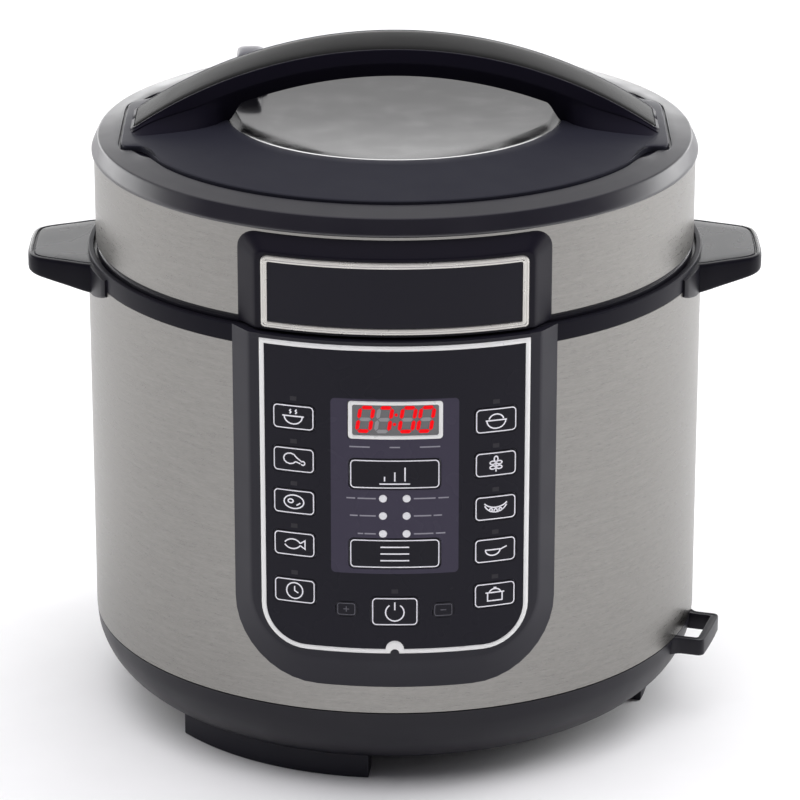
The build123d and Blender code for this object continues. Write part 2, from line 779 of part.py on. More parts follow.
with BuildPart() as lid_lower_ring:
    turned(
        [
            (SKIRT_RADIUS, LOWER_RING_BOTTOM),
            (133.6, LOWER_RING_BOTTOM),
            (133.6, 215.1),
            (139.0, 215.1),
            (139.0, BAND_BOTTOM),
            (LID_RADIUS - SHEET, BAND_BOTTOM),
            (LID_RADIUS - SHEET, 228.5),
            (136.6, 228.5),
            (136.6, 222.4),
            (SKIRT_RADIUS, 222.4),
        ]
    )
save(lid_lower_ring, "lid_lower_ring")

# ---------------------------------------------------------------- lid panel
LID_EDGE_X = 69.0
LID_EDGE_Y = sqrt(LID_RADIUS**2 - LID_EDGE_X**2)
LID_FLANK = (61.2, 132.6)
LID_FRAME_SEAT = 145.2


def lid_frame_edge(inset):
    """Outline of the lid's silver frame moved inward by an inset."""
    with BuildSketch(front_plane(115)) as edge:
        with Locations((0, (LID_FRAME_BOTTOM + LID_FRAME_TOP) / 2)):
            sheet = Rectangle(
                2 * (LID_FRAME_HALF_WIDTH - inset),
                LID_FRAME_TOP - LID_FRAME_BOTTOM - 2 * inset,
            )
        if inset == 0:
            fillet(sheet.vertices().group_by(Axis.Y)[-1], radius=3.5)
            fillet(edge.vertices().group_by(Axis.Y)[0], radius=1.2)
    return edge.sketch


with BuildPart() as lid_panel_housing:
    turned(
        [
            (LID_RADIUS, LID_PANEL_BOTTOM),
            (LID_PANEL_RADIUS, LID_PANEL_BOTTOM),
            (LID_PANEL_RADIUS, LID_PANEL_TOP - 5.7),
            (LID_RADIUS, LID_PANEL_TOP),
        ],
        start=-29.7,
        arc=59.4,
    )
    with BuildSketch(front_plane(100)) as front_view:
        with BuildLine():
            Polyline(
                (-LID_EDGE_X, 210),
                (LID_EDGE_X, 210),
                (LID_EDGE_X, LID_PANEL_TOP),
                (-LID_EDGE_X, LID_PANEL_TOP),
                close=True,
            )
        top_corners = make_face().vertices().group_by(Axis.Y)[-1]
        fillet(top_corners, radius=8.5)
    extrude(front_view.sketch, amount=60, mode=Mode.INTERSECT)
    flank_run = (LID_EDGE_X - LID_FLANK[0], LID_FLANK[1] - LID_EDGE_Y)
    for side in (-1, 1):
        with BuildSketch(Plane.XY.offset(200)) as flank:
            with BuildLine():
                Polyline(
                    (side * (LID_EDGE_X + flank_run[0]), -(LID_EDGE_Y - flank_run[1])),
                    (side * (LID_EDGE_X - 2 * flank_run[0]), -(LID_EDGE_Y + 2 * flank_run[1])),
                    (side * 95, -(LID_EDGE_Y + 2 * flank_run[1])),
                    close=True,
                )
            make_face()
        extrude(flank.sketch, amount=80, mode=Mode.SUBTRACT)
    with BuildPart(mode=Mode.PRIVATE) as frame_seat:
        extrude(lid_frame_edge(0), amount=50)
        tube(LID_FRAME_SEAT, LID_PANEL_RADIUS + 2, 200, 290, mode=Mode.INTERSECT)
    add(frame_seat.part, mode=Mode.SUBTRACT)
    tube(0, 143.2, 226, 257, -24, 48, mode=Mode.SUBTRACT)
save(lid_panel_housing, "lid_panel_housing")

with BuildPart() as lid_panel_frame:
    extrude(lid_frame_edge(0), amount=50)
    extrude(lid_frame_edge(LID_FRAME_LINE), amount=50, mode=Mode.SUBTRACT)
    tube(LID_FRAME_SEAT, LID_PANEL_RADIUS + 0.7, 200, 290, mode=Mode.INTERSECT)
save(lid_panel_frame, "lid_panel_frame")

with BuildPart() as lid_badge:
    extrude(lid_frame_edge(LID_FRAME_LINE), amount=50)
    tube(LID_FRAME_SEAT, LID_PANEL_RADIUS + 0.1, 200, 290, mode=Mode.INTERSECT)
save(lid_badge, "lid_badge")

# ---------------------------------------------------------------- arch handle
ARCH_AXIS = Axis((0, 0, ARCH_CENTRE), (0, 1, 0))
STRIP_END = ARCH_HALF_LENGTH - 1.7
FOOT_HALF_WIDTH = 26.0
END_ROUNDING = 4.0
# distance from the middle, half width at the foot, half width and arch radius at the top
LEG_SECTIONS = [
    (121.5, FOOT_HALF_WIDTH, 17.6, 212.2),
    (105.0, FOOT_HALF_WIDTH, 17.8, 212.0),
    (90.0, 25.4, 18.2, 210.0),
    (78.5, 12.0, 14.5, 203.0),
]


def arch(section, half_length, mode=Mode.ADD):
    """Bend a closed (y, arch radius) section over the lid and cut it off with rounded ends."""
    half_width = max(y for y, radius in section)
    with BuildPart(mode=Mode.PRIVATE) as hoop:
        with BuildSketch(Plane.YZ) as profile:
            with BuildLine():
                Polyline(*[(y, ARCH_CENTRE + radius) for y, radius in section], close=True)
            make_face()
        revolve(profile.sketch, axis=ARCH_AXIS)
        with BuildSketch(Plane.XY.offset(268)) as outline:
            RectangleRounded(2 * half_length, 2 * half_width, END_ROUNDING)
        extrude(outline.sketch, amount=62, mode=Mode.INTERSECT)
    add(hoop.part, mode=mode)


STRIP_SECTION = [
    (-STRIP_HALF_WIDTH, 210.4),
    (STRIP_HALF_WIDTH, 210.4),
    (STRIP_HALF_WIDTH, 212.4),
    (0, ARCH_TOP_RADIUS),
    (-STRIP_HALF_WIDTH, 212.4),
]


def below_cover():
    """Everything under the sloping cover, taken off pieces that stand on it."""
    turned(
        [
            (40.0, 200.0),
            (40.0, cover_height(40)),
            (135.0, cover_height(135)),
            (135.0, 200.0),
        ],
        mode=Mode.SUBTRACT,
    )


with BuildPart() as handle_body:
    for side in (-1, 1):
        with BuildPart(mode=Mode.PRIVATE) as leg:
            for x, foot, top, radius in LEG_SECTIONS:
                with BuildSketch(Plane.YZ.offset(side * x)):
                    with BuildLine():
                        Polyline(
                            (-foot, 262),
                            (-foot, cover_height(x)),
                            (-top, on_arch(radius, x)),
                            (top, on_arch(radius, x)),
                            (foot, cover_height(x)),
                            (foot, 262),
                            close=True,
                        )
                    make_face()
            loft(ruled=True)
            with BuildSketch(Plane.XY.offset(262)) as outline:
                RectangleRounded(2 * ARCH_HALF_LENGTH, 2 * FOOT_HALF_WIDTH, END_ROUNDING)
            extrude(outline.sketch, amount=70, mode=Mode.INTERSECT)
        add(leg.part)
    arch(
        [
            (-ARCH_HALF_WIDTH, 212.4),
            (-CREASE_HALF_WIDTH, ARCH_CREASE_RADIUS),
            (-UNDER_HALF_WIDTH, ARCH_UNDER_RADIUS),
            (UNDER_HALF_WIDTH, ARCH_UNDER_RADIUS),
            (CREASE_HALF_WIDTH, ARCH_CREASE_RADIUS),
            (ARCH_HALF_WIDTH, 212.4),
        ],
        ARCH_HALF_LENGTH,
    )
    arch(STRIP_SECTION, STRIP_END, Mode.SUBTRACT)
    below_cover()
save(handle_body, "handle_body")

with BuildPart() as handle_strip:
    arch(STRIP_SECTION, STRIP_END)
    below_cover()
save(handle_strip, "handle_strip")

# ---------------------------------------------------------------- pressure lid and seal
PLATE_CROWN = 238.0
PLATE_SHEET = 1.4
SEAL_ROOF = 222.0
SKIRT_BOTTOM = 213.9

with BuildPart() as pressure_lid:
    turned(
        [
            (0, PLATE_CROWN),
            (92.0, PLATE_CROWN),
            (104.0, 230.0),
            (112.0, SEAL_ROOF + 1.2),
            (SKIRT_RADIUS, SEAL_ROOF + 1.2),
            (SKIRT_RADIUS, SKIRT_BOTTOM),
            (SKIRT_RADIUS - PLATE_SHEET, SKIRT_BOTTOM),
            (SKIRT_RADIUS - PLATE_SHEET, SEAL_ROOF),
            (111.6, SEAL_ROOF),
            (103.4, 228.7),
            (91.5, PLATE_CROWN - PLATE_SHEET),
            (0, PLATE_CROWN - PLATE_SHEET),
        ]
    )
    for lug in range(LUGS):
        middle = lug * 360 / LUGS + 30
        tube(
            SKIRT_RADIUS - 0.5,
            123.4,
            SKIRT_BOTTOM,
            SKIRT_BOTTOM + 1.8,
            middle - LUG_ANGLE / 2,
            LUG_ANGLE,
        )
    with BuildSketch(Plane.XY.offset(230)) as openings:
        with Locations((VALVE_X, VALVE_Y)):
            Circle(3.4)
        with Locations((FLOAT_X, FLOAT_Y)):
            Circle(3.0)
    extrude(openings.sketch, amount=10, mode=Mode.SUBTRACT)
save(pressure_lid, "pressure_lid")

with BuildPart() as seal_rack:
    tube(111.7, 112.8, 214.6, SEAL_ROOF)
save(seal_rack, "seal_rack")

with BuildPart() as sealing_ring:
    turned(
        [
            (113.2, 214.0),
            (119.5, 214.0),
            (119.5, 221.6),
            (113.2, 221.6),
            (113.2, 219.8),
            (117.0, 219.0),
            (117.0, 216.6),
            (113.2, 215.8),
        ]
    )
save(sealing_ring, "sealing_ring")

# ---------------------------------------------------------------- valves
PIPE_RADIUS = 3.4
PIPE_TOP = 286.5


def upright(x, y, radius, bottom, top, mode=Mode.ADD):
    """Round bar standing at a place on the lid."""
    with BuildSketch(Plane.XY.offset(bottom)) as foot:
        with Locations((x, y)):
            Circle(radius)
    extrude(foot.sketch, amount=top - bottom, mode=mode)


with BuildPart() as vent_pipe:
    upright(VALVE_X, VALVE_Y, PIPE_RADIUS, PLATE_CROWN - PLATE_SHEET, PIPE_TOP)
    upright(VALVE_X, VALVE_Y, 6.0, PLATE_CROWN, PLATE_CROWN + 3)
    upright(VALVE_X, VALVE_Y, 1.2, 230, 290, Mode.SUBTRACT)
save(vent_pipe, "vent_pipe")

with BuildPart() as valve_weight:
    upright(VALVE_X, VALVE_Y, 6.4, 283.2, 290.0)
    upright(VALVE_X, VALVE_Y, PIPE_RADIUS + 0.4, 283.2, PIPE_TOP + 0.6, Mode.SUBTRACT)
save(valve_weight, "valve_weight")

GRIP_TOP = 296.2

with BuildPart() as valve_grip:
    upright(VALVE_X, VALVE_Y, 9.4, 283.0, 289.4)
    with BuildSketch(Plane.XZ.offset(-VALVE_Y - 12)) as bar:
        with BuildLine():
            Polyline(
                (VALVE_X - 6.3, GRIP_TOP - 1.2),
                (VALVE_X - 5.9, GRIP_TOP - 2.4),
                (VALVE_X - 4.2, 288.0),
                (VALVE_X + 4.2, 288.0),
                (VALVE_X + 5.9, GRIP_TOP - 2.4),
                (VALVE_X + 6.3, GRIP_TOP - 1.2),
            )
            ThreePointArc(
                (VALVE_X + 6.3, GRIP_TOP - 1.2),
                (VALVE_X, GRIP_TOP),
                (VALVE_X - 6.3, GRIP_TOP - 1.2),
            )
        make_face()
    extrude(bar.sketch, amount=24)
    upright(VALVE_X, VALVE_Y, 6.4, 280.0, 290.0, Mode.SUBTRACT)
save(valve_grip, "valve_grip")

FLOAT_HEAD = 281.9

with BuildPart() as float_pin:
    upright(FLOAT_X, FLOAT_Y, 2.6, 230.0, FLOAT_HEAD)
    upright(FLOAT_X, FLOAT_Y, 4.4, PLATE_CROWN + 0.4, PLATE_CROWN + 1.6)
    upright(FLOAT_X, FLOAT_Y, 3.7, 230.0, 231.2)
save(float_pin, "float_pin")

with BuildPart() as float_gasket:
    upright(FLOAT_X, FLOAT_Y, 3.9, 231.2, 233.2)
    upright(FLOAT_X, FLOAT_Y, 2.6, 230.0, 234.0, Mode.SUBTRACT)
save(float_gasket, "float_gasket")
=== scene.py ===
from math import atan2, cos, degrees, hypot, pi, radians, sin, sqrt

import bmesh
import bpy
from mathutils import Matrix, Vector


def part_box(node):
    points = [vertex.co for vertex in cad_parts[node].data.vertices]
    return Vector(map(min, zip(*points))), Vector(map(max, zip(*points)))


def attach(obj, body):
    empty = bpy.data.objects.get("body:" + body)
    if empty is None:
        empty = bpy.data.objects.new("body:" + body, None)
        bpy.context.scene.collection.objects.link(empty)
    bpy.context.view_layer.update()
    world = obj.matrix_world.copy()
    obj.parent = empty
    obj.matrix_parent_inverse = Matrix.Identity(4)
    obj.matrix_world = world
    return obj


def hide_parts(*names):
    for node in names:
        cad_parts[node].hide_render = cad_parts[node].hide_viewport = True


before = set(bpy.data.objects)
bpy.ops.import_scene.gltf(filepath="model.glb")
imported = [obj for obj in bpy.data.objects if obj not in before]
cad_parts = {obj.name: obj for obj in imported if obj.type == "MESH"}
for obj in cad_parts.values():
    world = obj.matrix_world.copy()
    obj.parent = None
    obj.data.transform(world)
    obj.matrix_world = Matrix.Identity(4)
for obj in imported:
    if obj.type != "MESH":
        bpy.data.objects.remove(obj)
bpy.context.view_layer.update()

MM = 0.001

# ---------------------------------------------------------------- sizes, in millimetres
BODY_RADIUS = 143.0
SLEEVE_BOTTOM = 42.2
SLEEVE_TOP = 212.9
DOCK_LOW, DOCK_HIGH = 158, 206
PANEL_RADIUS = 149.0
PANEL_LINE_TOP = 219.3
BEZEL_TOP = 221.15
MARK_FACE = 149.42
KEY_FACE = 149.56
LID_PANEL_RADIUS = 146.0
COVER_HOLE = 78.0
COVER_CROWN = 282.4
COVER_SLOPE = 0.121
ARCH_CENTRE = 104.2
ARCH_END = 121.5
STRIP_END = 119.8
INLET_FACE = 141.2
PIN_TIP = 136.0
VALVE_PLACE = (-68.5, 56.0)
FLOAT_PLACE = (-25.0, 84.0)


# ---------------------------------------------------------------- materials
def material(name, color, rough, metallic=0.0, coat=0.0, coat_rough=0.1, specular=0.5, **extra):
    """Principled material with its plain values set on the shader itself."""
    made = bpy.data.materials.new(name)
    made.use_nodes = True
    shader = made.node_tree.nodes["Principled BSDF"]
    shader.inputs["Base Color"].default_value = (*color, 1)
    shader.inputs["Roughness"].default_value = rough
    shader.inputs["Metallic"].default_value = metallic
    shader.inputs["Coat Weight"].default_value = coat
    shader.inputs["Coat Roughness"].default_value = coat_rough
    shader.inputs["Specular IOR Level"].default_value = specular
    for socket, value in extra.items():
        shader.inputs[socket.replace("_", " ")].default_value = value
    return made


class Nodes:
    """Short calls for wiring the nodes of one material or of the world."""

    def __init__(self, owner):
        self.tree = owner.node_tree
        self.shader = self.tree.nodes.get("Principled BSDF")

    def add(self, kind, links=(), **values):
        node = self.tree.nodes.new(kind)
        for key, value in values.items():
            setattr(node, key, value)
        for socket, source in dict(links).items():
            if hasattr(source, "is_output"):
                self.tree.links.new(source, node.inputs[socket])
            else:
                node.inputs[socket].default_value = source
        return node

    def place(self, scale):
        """Object coordinates stretched by a scale."""
        coordinates = self.add("ShaderNodeTexCoord")
        links = {"Vector": coordinates.outputs["Object"], "Scale": scale}
        return self.add("ShaderNodeMapping", links).outputs["Vector"]

    def noise(self, scale, size=1.0, detail=3.0, rough=0.55):
        links = {"Vector": self.place(scale), "Scale": size, "Detail": detail, "Roughness": rough}
        return self.add("ShaderNodeTexNoise", links).outputs["Fac"]

    def spread(self, value, low, high, start=0.3, stop=0.7):
        links = {0: value, 1: start, 2: stop, 3: low, 4: high}
        return self.add("ShaderNodeMapRange", links).outputs["Result"]

    def math(self, operation, first, second=0.0):
        return self.add("ShaderNodeMath", {0: first, 1: second}, operation=operation).outputs[0]

    def mix(self, share, first, second):
        """Colour between two colours; 6, 7 and 2 are the node's colour sockets."""
        return self.add("ShaderNodeMix", {0: share, 6: first, 7: second}, data_type="RGBA").outputs[2]

    def bump(self, height, strength, distance):
        links = {"Height": height, "Strength": strength, "Distance": distance}
        self.set("Normal", self.add("ShaderNodeBump", links).outputs["Normal"])

    def set(self, socket, source):
        self.tree.links.new(source, self.shader.inputs[socket])


def shades(color, tone):
    """A colour darkened and lightened by a share, as RGBA."""
    return (*(c * (1 - tone) for c in color), 1), (*(min(1, c * (1 + tone)) for c in color), 1)


def moulded(name, color, rough, edge_highlight=(0.05, 0.05, 0.055), grain=0.02, coat=0.0, coat_rough=0.2, specular=0.2):
    """Moulded black plastic: fine spark grain, uneven gloss and edges lightened by a painted edge highlight,
    broken up by noise.
    """
    made = material(name, color, rough, coat=coat, coat_rough=coat_rough, specular=specular)
    n = Nodes(made)
    cloud = n.noise((1, 1, 1), 45, 2)
    n.set("Roughness", n.spread(cloud, rough - 0.035, rough + 0.045))
    edge = n.add("ShaderNodeBevel", {"Radius": 0.0012}, samples=4)
    plain = n.add("ShaderNodeNewGeometry")
    normals = {0: edge.outputs[0], 1: plain.outputs["Normal"]}
    turn = n.add("ShaderNodeVectorMath", normals, operation="DOT_PRODUCT")
    # painted edge highlight: the base colour turns to the lighter edge colour where the bevelled normal
    # leaves the face's own
    edge_highlight_share = n.spread(turn.outputs["Value"], 0.45, 0.0, 0.75, 0.995)
    edge_highlight_share = n.math("MULTIPLY", edge_highlight_share, n.spread(n.noise((1, 1, 1), 120, 3), 0.2, 1.0))
    n.set("Base Color", n.mix(edge_highlight_share, (*color, 1), (*edge_highlight, 1)))
    n.bump(n.noise((1, 1, 1), 2600, 2), grain, 0.0004)
    return made


def brushed(name, color, rough, stretch, anisotropic=0.75, tone=0.09, strength=0.06):
    """Brushed steel: long fine streaks in tone, gloss and height, with wider uneven bands."""
    made = material(name, color, rough, metallic=1.0)
    n = Nodes(made)
    n.shader.inputs["Anisotropic"].default_value = anisotropic
    fine = n.noise(stretch, 1.0, 4, 0.7)
    wide = n.noise(tuple(0.22 * s for s in stretch), 1.0, 2)
    streak = n.math("ADD", n.math("MULTIPLY", fine, 0.7), n.math("MULTIPLY", wide, 0.3))
    n.set("Base Color", n.mix(n.spread(streak, 0, 1, 0.35, 0.65), *shades(color, tone)))
    n.set("Roughness", n.spread(streak, rough - 0.05, rough + 0.06, 0.35, 0.65))
    n.set("Tangent", n.add("ShaderNodeTangent", direction_type="RADIAL", axis="Z").outputs[0])
    n.bump(fine, strength, 0.0002)
    return made


def cast(name, color, rough, metallic=1.0, size=300, strength=0.1, tone=0.1):
    """Metal with an even fine surface: satin, cast or coated."""
    made = material(name, color, rough, metallic=metallic)
    n = Nodes(made)
    grain = n.noise((1, 1, 1), size, 4)
    cloud = n.noise((1, 1, 1), 25, 3)
    n.set("Base Color", n.mix(n.spread(cloud, 0, 1), *shades(color, tone)))
    n.set("Roughness", n.spread(grain, rough - 0.05, rough + 0.05))
    n.bump(grain, strength, 0.0002)
    return made


def paint(name, color, rough, tone):
    """Smooth paint, print or lens."""
    return cast(name, color, rough, metallic=0.0, tone=tone, strength=0.01)


STEEL = (0.25, 0.2435, 0.2305)
OVERLAY = (0.010, 0.0093, 0.0155)
OVERLAY_ZONE = (0.050, 0.044, 0.070)
FINE_GRAIN = (260, 260, 3000)

# each moulded plastic below lightens its edges to a painted edge highlight, of the default edge colour or the
# one given
shell_black = moulded("shell_black", (0.0085, 0.0077, 0.0125), 0.40, specular=0.28)
bezel_black = moulded("bezel_black", (0.013, 0.0122, 0.019), 0.34, specular=0.24)
lid_bezel_black = moulded("lid_bezel_black", (0.0065, 0.0055, 0.0105), 0.32, specular=0.12)
ring_black = moulded("ring_black", (0.009, 0.0085, 0.013), 0.36, specular=0.06)
# glossier copy of the grip plastic for the handles' tops, its base colour raised as a painted sheen
grip_top_painted_sheen = moulded("grip_top_painted_sheen", (0.018, 0.018, 0.021), 0.26, grain=0.012, specular=0.95)
grip_side = moulded("grip_side", (0.007, 0.0065, 0.010), 0.36, specular=0.08)
handle_black = moulded("handle_black", (0.0092, 0.0082, 0.0145), 0.30, edge_highlight=(0.02, 0.02, 0.025), grain=0.012,
                       specular=0.04)
cover_black = moulded("cover_black", (0.018, 0.018, 0.026), 0.40, grain=0.015, specular=0.08)
cap_black = moulded("cap_black", (0.007, 0.006, 0.0115), 0.32, grain=0.008, specular=0.9)
strip_gloss = moulded("strip_gloss", (0.0165, 0.0165, 0.0165), 0.2, grain=0.004, specular=0.004)
grip_grey = moulded("grip_grey", (0.065, 0.063, 0.078), 0.34, edge_highlight=(0.2, 0.2, 0.22), grain=0.01)
inlet_black = moulded("inlet_black", (0.01, 0.01, 0.01), 0.5)
rubber_black = moulded("rubber_black", (0.012, 0.0115, 0.018), 0.5, grain=0.06)
cup_smoke = moulded("cup_smoke", (0.05, 0.052, 0.058), 0.2, grain=0.004, coat=0.6)
steel_around = brushed("steel_around", STEEL, 0.30, FINE_GRAIN, tone=0.12, strength=0.07)
steel_turned = brushed("steel_turned", (0.6, 0.6, 0.6), 0.26, (500, 500, 60), 0.3, 0.05, 0.03)
disc_steel = cast("disc_steel", (0.178, 0.175, 0.178), 0.085, size=60, strength=0.004, tone=0.01)
pin_brass = cast("pin_brass", (0.75, 0.62, 0.34), 0.25)
cast_grey = cast("cast_grey", (0.5, 0.5, 0.51), 0.42, size=900, strength=0.15)
lock_black = cast("lock_black", (0.03, 0.03, 0.03), 0.45, metallic=0.3)
pot_coat = cast("pot_coat", (0.022, 0.022, 0.023), 0.34, metallic=0.2, size=1500, strength=0.08)
liner_grey = cast("liner_grey", (0.55, 0.55, 0.55), 0.35, size=500)
frame_white = cast("frame_white", (0.82, 0.82, 0.81), 0.32, metallic=0.15, size=150, strength=0.006,
                   tone=0.02)
frame_silver = cast("frame_silver", (0.60, 0.585, 0.55), 0.3, metallic=0.8, size=150, strength=0.006,
                    tone=0.03)
silicone = cast("silicone", (0.72, 0.72, 0.70), 0.5, metallic=0.0, size=400, strength=0.05, tone=0.03)
board_green = cast("board_green", (0.02, 0.10, 0.05), 0.45, metallic=0.0)
print_white = paint("print_white", (0.88, 0.87, 0.92), 0.45, 0.05)
print_grey = paint("print_grey", (0.28, 0.27, 0.32), 0.45, 0.05)
print_faint = paint("print_faint", (0.10, 0.097, 0.12), 0.45, 0.05)
lamp_white = paint("lamp_white", (0.82, 0.82, 0.84), 0.3, 0.03)
key_gloss = moulded("key_gloss", (0.010, 0.0093, 0.0150), 0.27, grain=0.004, specular=0.14)
lcd_grey = paint("lcd_grey", (0.135, 0.135, 0.14), 0.35, 0.04)
digit_red = material("digit_red", (0.72, 0.001, 0.004), 0.5, specular=0.1,
                     Emission_Color=(1.0, 0.002, 0.01, 1), Emission_Strength=0.35)
digit_off = paint("digit_off", (0.30, 0.30, 0.31), 0.4, 0.03)


def fascia_material():
    """Dark overlay with a lighter rounded zone round the display and the menu keys."""
    made = moulded("fascia_gloss", OVERLAY, 0.26, grain=0.004, specular=0.13)
    n = Nodes(made)
    half_width, half_height, middle, corner = 0.0262, 0.03915, 0.15375, 0.002
    split = n.add("ShaderNodeSeparateXYZ", {0: n.place((1, 1, 1))})
    across = n.math("SUBTRACT", n.math("ABSOLUTE", split.outputs["X"]), half_width)
    rise = n.math("SUBTRACT", split.outputs["Z"], middle)
    rise = n.math("SUBTRACT", n.math("ABSOLUTE", rise), half_height)
    squares = [n.math("POWER", n.math("MAXIMUM", away, 0.0), 2.0) for away in (across, rise)]
    inside = n.math("LESS_THAN", n.math("SQRT", n.math("ADD", *squares)), corner)
    n.set("Base Color", n.mix(inside, (*OVERLAY, 1), (*OVERLAY_ZONE, 1)))
    return made


fascia_gloss = fascia_material()
badge_gloss = moulded("badge_gloss", OVERLAY, 0.2, grain=0.004, specular=0.14)


# ---------------------------------------------------------------- mesh helpers
def piece(name, verts, faces, body, finish, slot_name=None, stands_for=(), sharp=32):
    """Mesh piece from millimetre points that rides on a body."""
    mesh = bpy.data.meshes.new(name)
    mesh.from_pydata([[c * MM for c in v] for v in verts], [], faces)
    return dress(name, mesh, body, finish, stands_for, sharp)


def dress(name, mesh, body, finish, stands_for=(), sharp=32):
    """Object round a finished mesh, with its normals, finish and body."""
    tidy = bmesh.new()
    tidy.from_mesh(mesh)
    bmesh.ops.remove_doubles(tidy, verts=tidy.verts, dist=1e-6)
    bmesh.ops.recalc_face_normals(tidy, faces=tidy.faces)
    tidy.to_mesh(mesh)
    tidy.free()
    mesh.polygons.foreach_set("use_smooth", [True] * len(mesh.polygons))
    mesh.set_sharp_from_angle(angle=radians(sharp))
    for one in finish if isinstance(finish, (list, tuple)) else [finish]:
        mesh.materials.append(one)
    made = bpy.data.objects.new(name, mesh)
    bpy.context.scene.collection.objects.link(made)
    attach(made, body)
    if stands_for:
        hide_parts(*([stands_for] if isinstance(stands_for, str) else stands_for))
    return made


def rounded(corners, steps=5):
    """Profile points with each (r, z, fillet) corner replaced by an arc."""
    points = []
    count = len(corners)
    for i, (r, z, fillet) in enumerate(corners):
        here = Vector((r, z))
        before = Vector(corners[i - 1][:2]) - here
        after = Vector(corners[(i + 1) % count][:2]) - here
        reach = min(fillet, before.length * 0.45, after.length * 0.45)
        if reach <= 0.02:
            points.append((r, z))
            continue
        start = here + before.normalized() * reach
        stop = here + after.normalized() * reach
        for k in range(steps + 1):
            t = k / steps
            points.append(tuple(start * (1 - t) ** 2 + here * 2 * t * (1 - t) + stop * t**2))
    return points


def around(r, z, azimuth):
    """Point at a radius, a height and an azimuth from the front."""
    return (r * sin(radians(azimuth)), -r * cos(radians(azimuth)), z)


def lathe(profile, azimuths=None, count=288):
    """Ring mesh of a closed (r, z) profile, full or over a list of azimuths."""
    full = azimuths is None
    azimuths = azimuths or [i * 360 / count for i in range(count)]
    verts = [around(r, z, azimuth) for azimuth in azimuths for r, z in profile]
    size = len(profile)
    faces = []
    for i in range(len(azimuths) if full else len(azimuths) - 1):
        a, b = i * size, (i + 1) % len(azimuths) * size
        for k in range(size):
            q = (k + 1) % size
            if profile[k][0] > 1e-6 or profile[q][0] > 1e-6:
                faces.append((a + k, b + k, b + q, a + q))
    if not full:
        faces.append(tuple(range(size)))
        faces.append(tuple(reversed(range(len(verts) - size, len(verts)))))
    return verts, faces


def loft(loops, closed=True, cap=(False, False)):
    """Faces between loops of equal length."""
    verts = [p for loop in loops for p in loop]
    size = len(loops[0])
    faces = []
    for i in range(len(loops) - 1):
        for k in range(size if closed else size - 1):
            q = (k + 1) % size
            faces.append((i * size + k, i * size + q, (i + 1) * size + q, (i + 1) * size + k))
    if cap[0]:
        faces.append(tuple(range(size)))
    if cap[1]:
        faces.append(tuple(reversed(range((len(loops) - 1) * size, len(loops) * size))))
    return verts, faces


def at_front(x, z, radius):
    """Point of a front-view place on a cylinder of a radius."""
    return (x, -sqrt(radius * radius - x * x), z)


def between(first, second, share):
    """Point or row of numbers a share of the way from a first to a second."""
    return tuple(a + (b - a) * share for a, b in zip(first, second))


def arc(u, v, size_u, size_v, start, stop, steps=10):
    """Points of an elliptic arc round (u, v), between two angles in degrees."""
    turns = [radians(start + (stop - start) * k / steps) for k in range(steps + 1)]
    return [(u + size_u * cos(turn), v + size_v * sin(turn)) for turn in turns]


def round_box(half_u, half_v, corner, steps=6):
    """Outline of a rounded rectangle about the origin."""
    places = ((1, 1), (-1, 1), (-1, -1), (1, -1))
    return [point for k, (a, b) in enumerate(places)
            for point in arc(
                a * (half_u - corner), b * (half_v - corner), corner, corner, 90 * k, 90 * k + 90, steps)]


def soften(rows, sharpness=0.22, steps=4):
    """Rows of loop numbers with the corner at each inner row rounded."""
    out = [rows[0]]
    for before, here, after in zip(rows, rows[1:], rows[2:]):
        start = between(here, before, sharpness)
        stop = between(here, after, sharpness)
        for k in range(steps + 1):
            t = k / steps
            out.append(tuple(a * (1 - t) ** 2 + h * 2 * t * (1 - t) + b * t * t
                             for a, h, b in zip(start, here, stop)))
    out.append(rows[-1])
    return out


# ---------------------------------------------------------------- base
def bowl_profile():
    """Rounded bowl from the flat underside to the sleeve, with its wall and inner lip."""
    curve = smooth_line([
        (89.0, 5.5), (104.0, 6.2), (118.0, 9.4), (129.5, 15.6), (137.4, 24.0), (141.8, 33.4),
        (142.85, 41.55)])
    inner = [(142.3, 42.2), (142.3, 49.0), (140.4, 49.0), (140.2, 42.0), (139.0, 34.0), (134.6, 25.0),
             (127.0, 17.6), (116.0, 12.0), (102.0, 8.9), (89.0, 8.1), (80.0, 8.1), (80.0, 5.5)]
    return curve + [(141.3, 41.6), (141.3, 42.2)] + inner


def smooth_line(points, steps=6):
    """Smooth line through points, as a Catmull-Rom chain."""
    out = []
    padded = [points[0], *points, points[-1]]

    def place(p, q, r, s, t):
        bend, twist = 2 * p - 5 * q + 4 * r - s, 3 * q - p - 3 * r + s
        return 0.5 * (2 * q + (r - p) * t + bend * t**2 + twist * t**3)

    for four in zip(padded, padded[1:], padded[2:], padded[3:]):
        for k in range(steps):
            out.append(tuple(place(*numbers, k / steps) for numbers in zip(*four)))
    out.append(points[-1])
    return out


def cut(made, low, high):
    """Take a box, in millimetres, out of a piece."""
    tool = bpy.data.meshes.new("cutter")
    shape = bmesh.new()
    bmesh.ops.create_cube(shape, size=1)
    for v in shape.verts:
        v.co = Vector((a + (b - a) * (c + 0.5) for a, b, c in zip(low, high, v.co))) * MM
    shape.to_mesh(tool)
    shape.free()
    block = bpy.data.objects.new("cutter", tool)
    bpy.context.scene.collection.objects.link(block)
    step = made.modifiers.new("cut", "BOOLEAN")
    step.object = block
    step.operation = "DIFFERENCE"
    step.solver = "EXACT"
    bpy.context.view_layer.update()
    done = bpy.data.meshes.new_from_object(made.evaluated_get(bpy.context.evaluated_depsgraph_get()))
    made.modifiers.clear()
    made.data = done
    bpy.data.objects.remove(block)


bowl = piece("base_bowl", *lathe(bowl_profile()), "base", shell_black, "shell_plastic", "base_shell")
cut(bowl, (-15.2, 119, 16.3), (15.2, 152, 40.2))


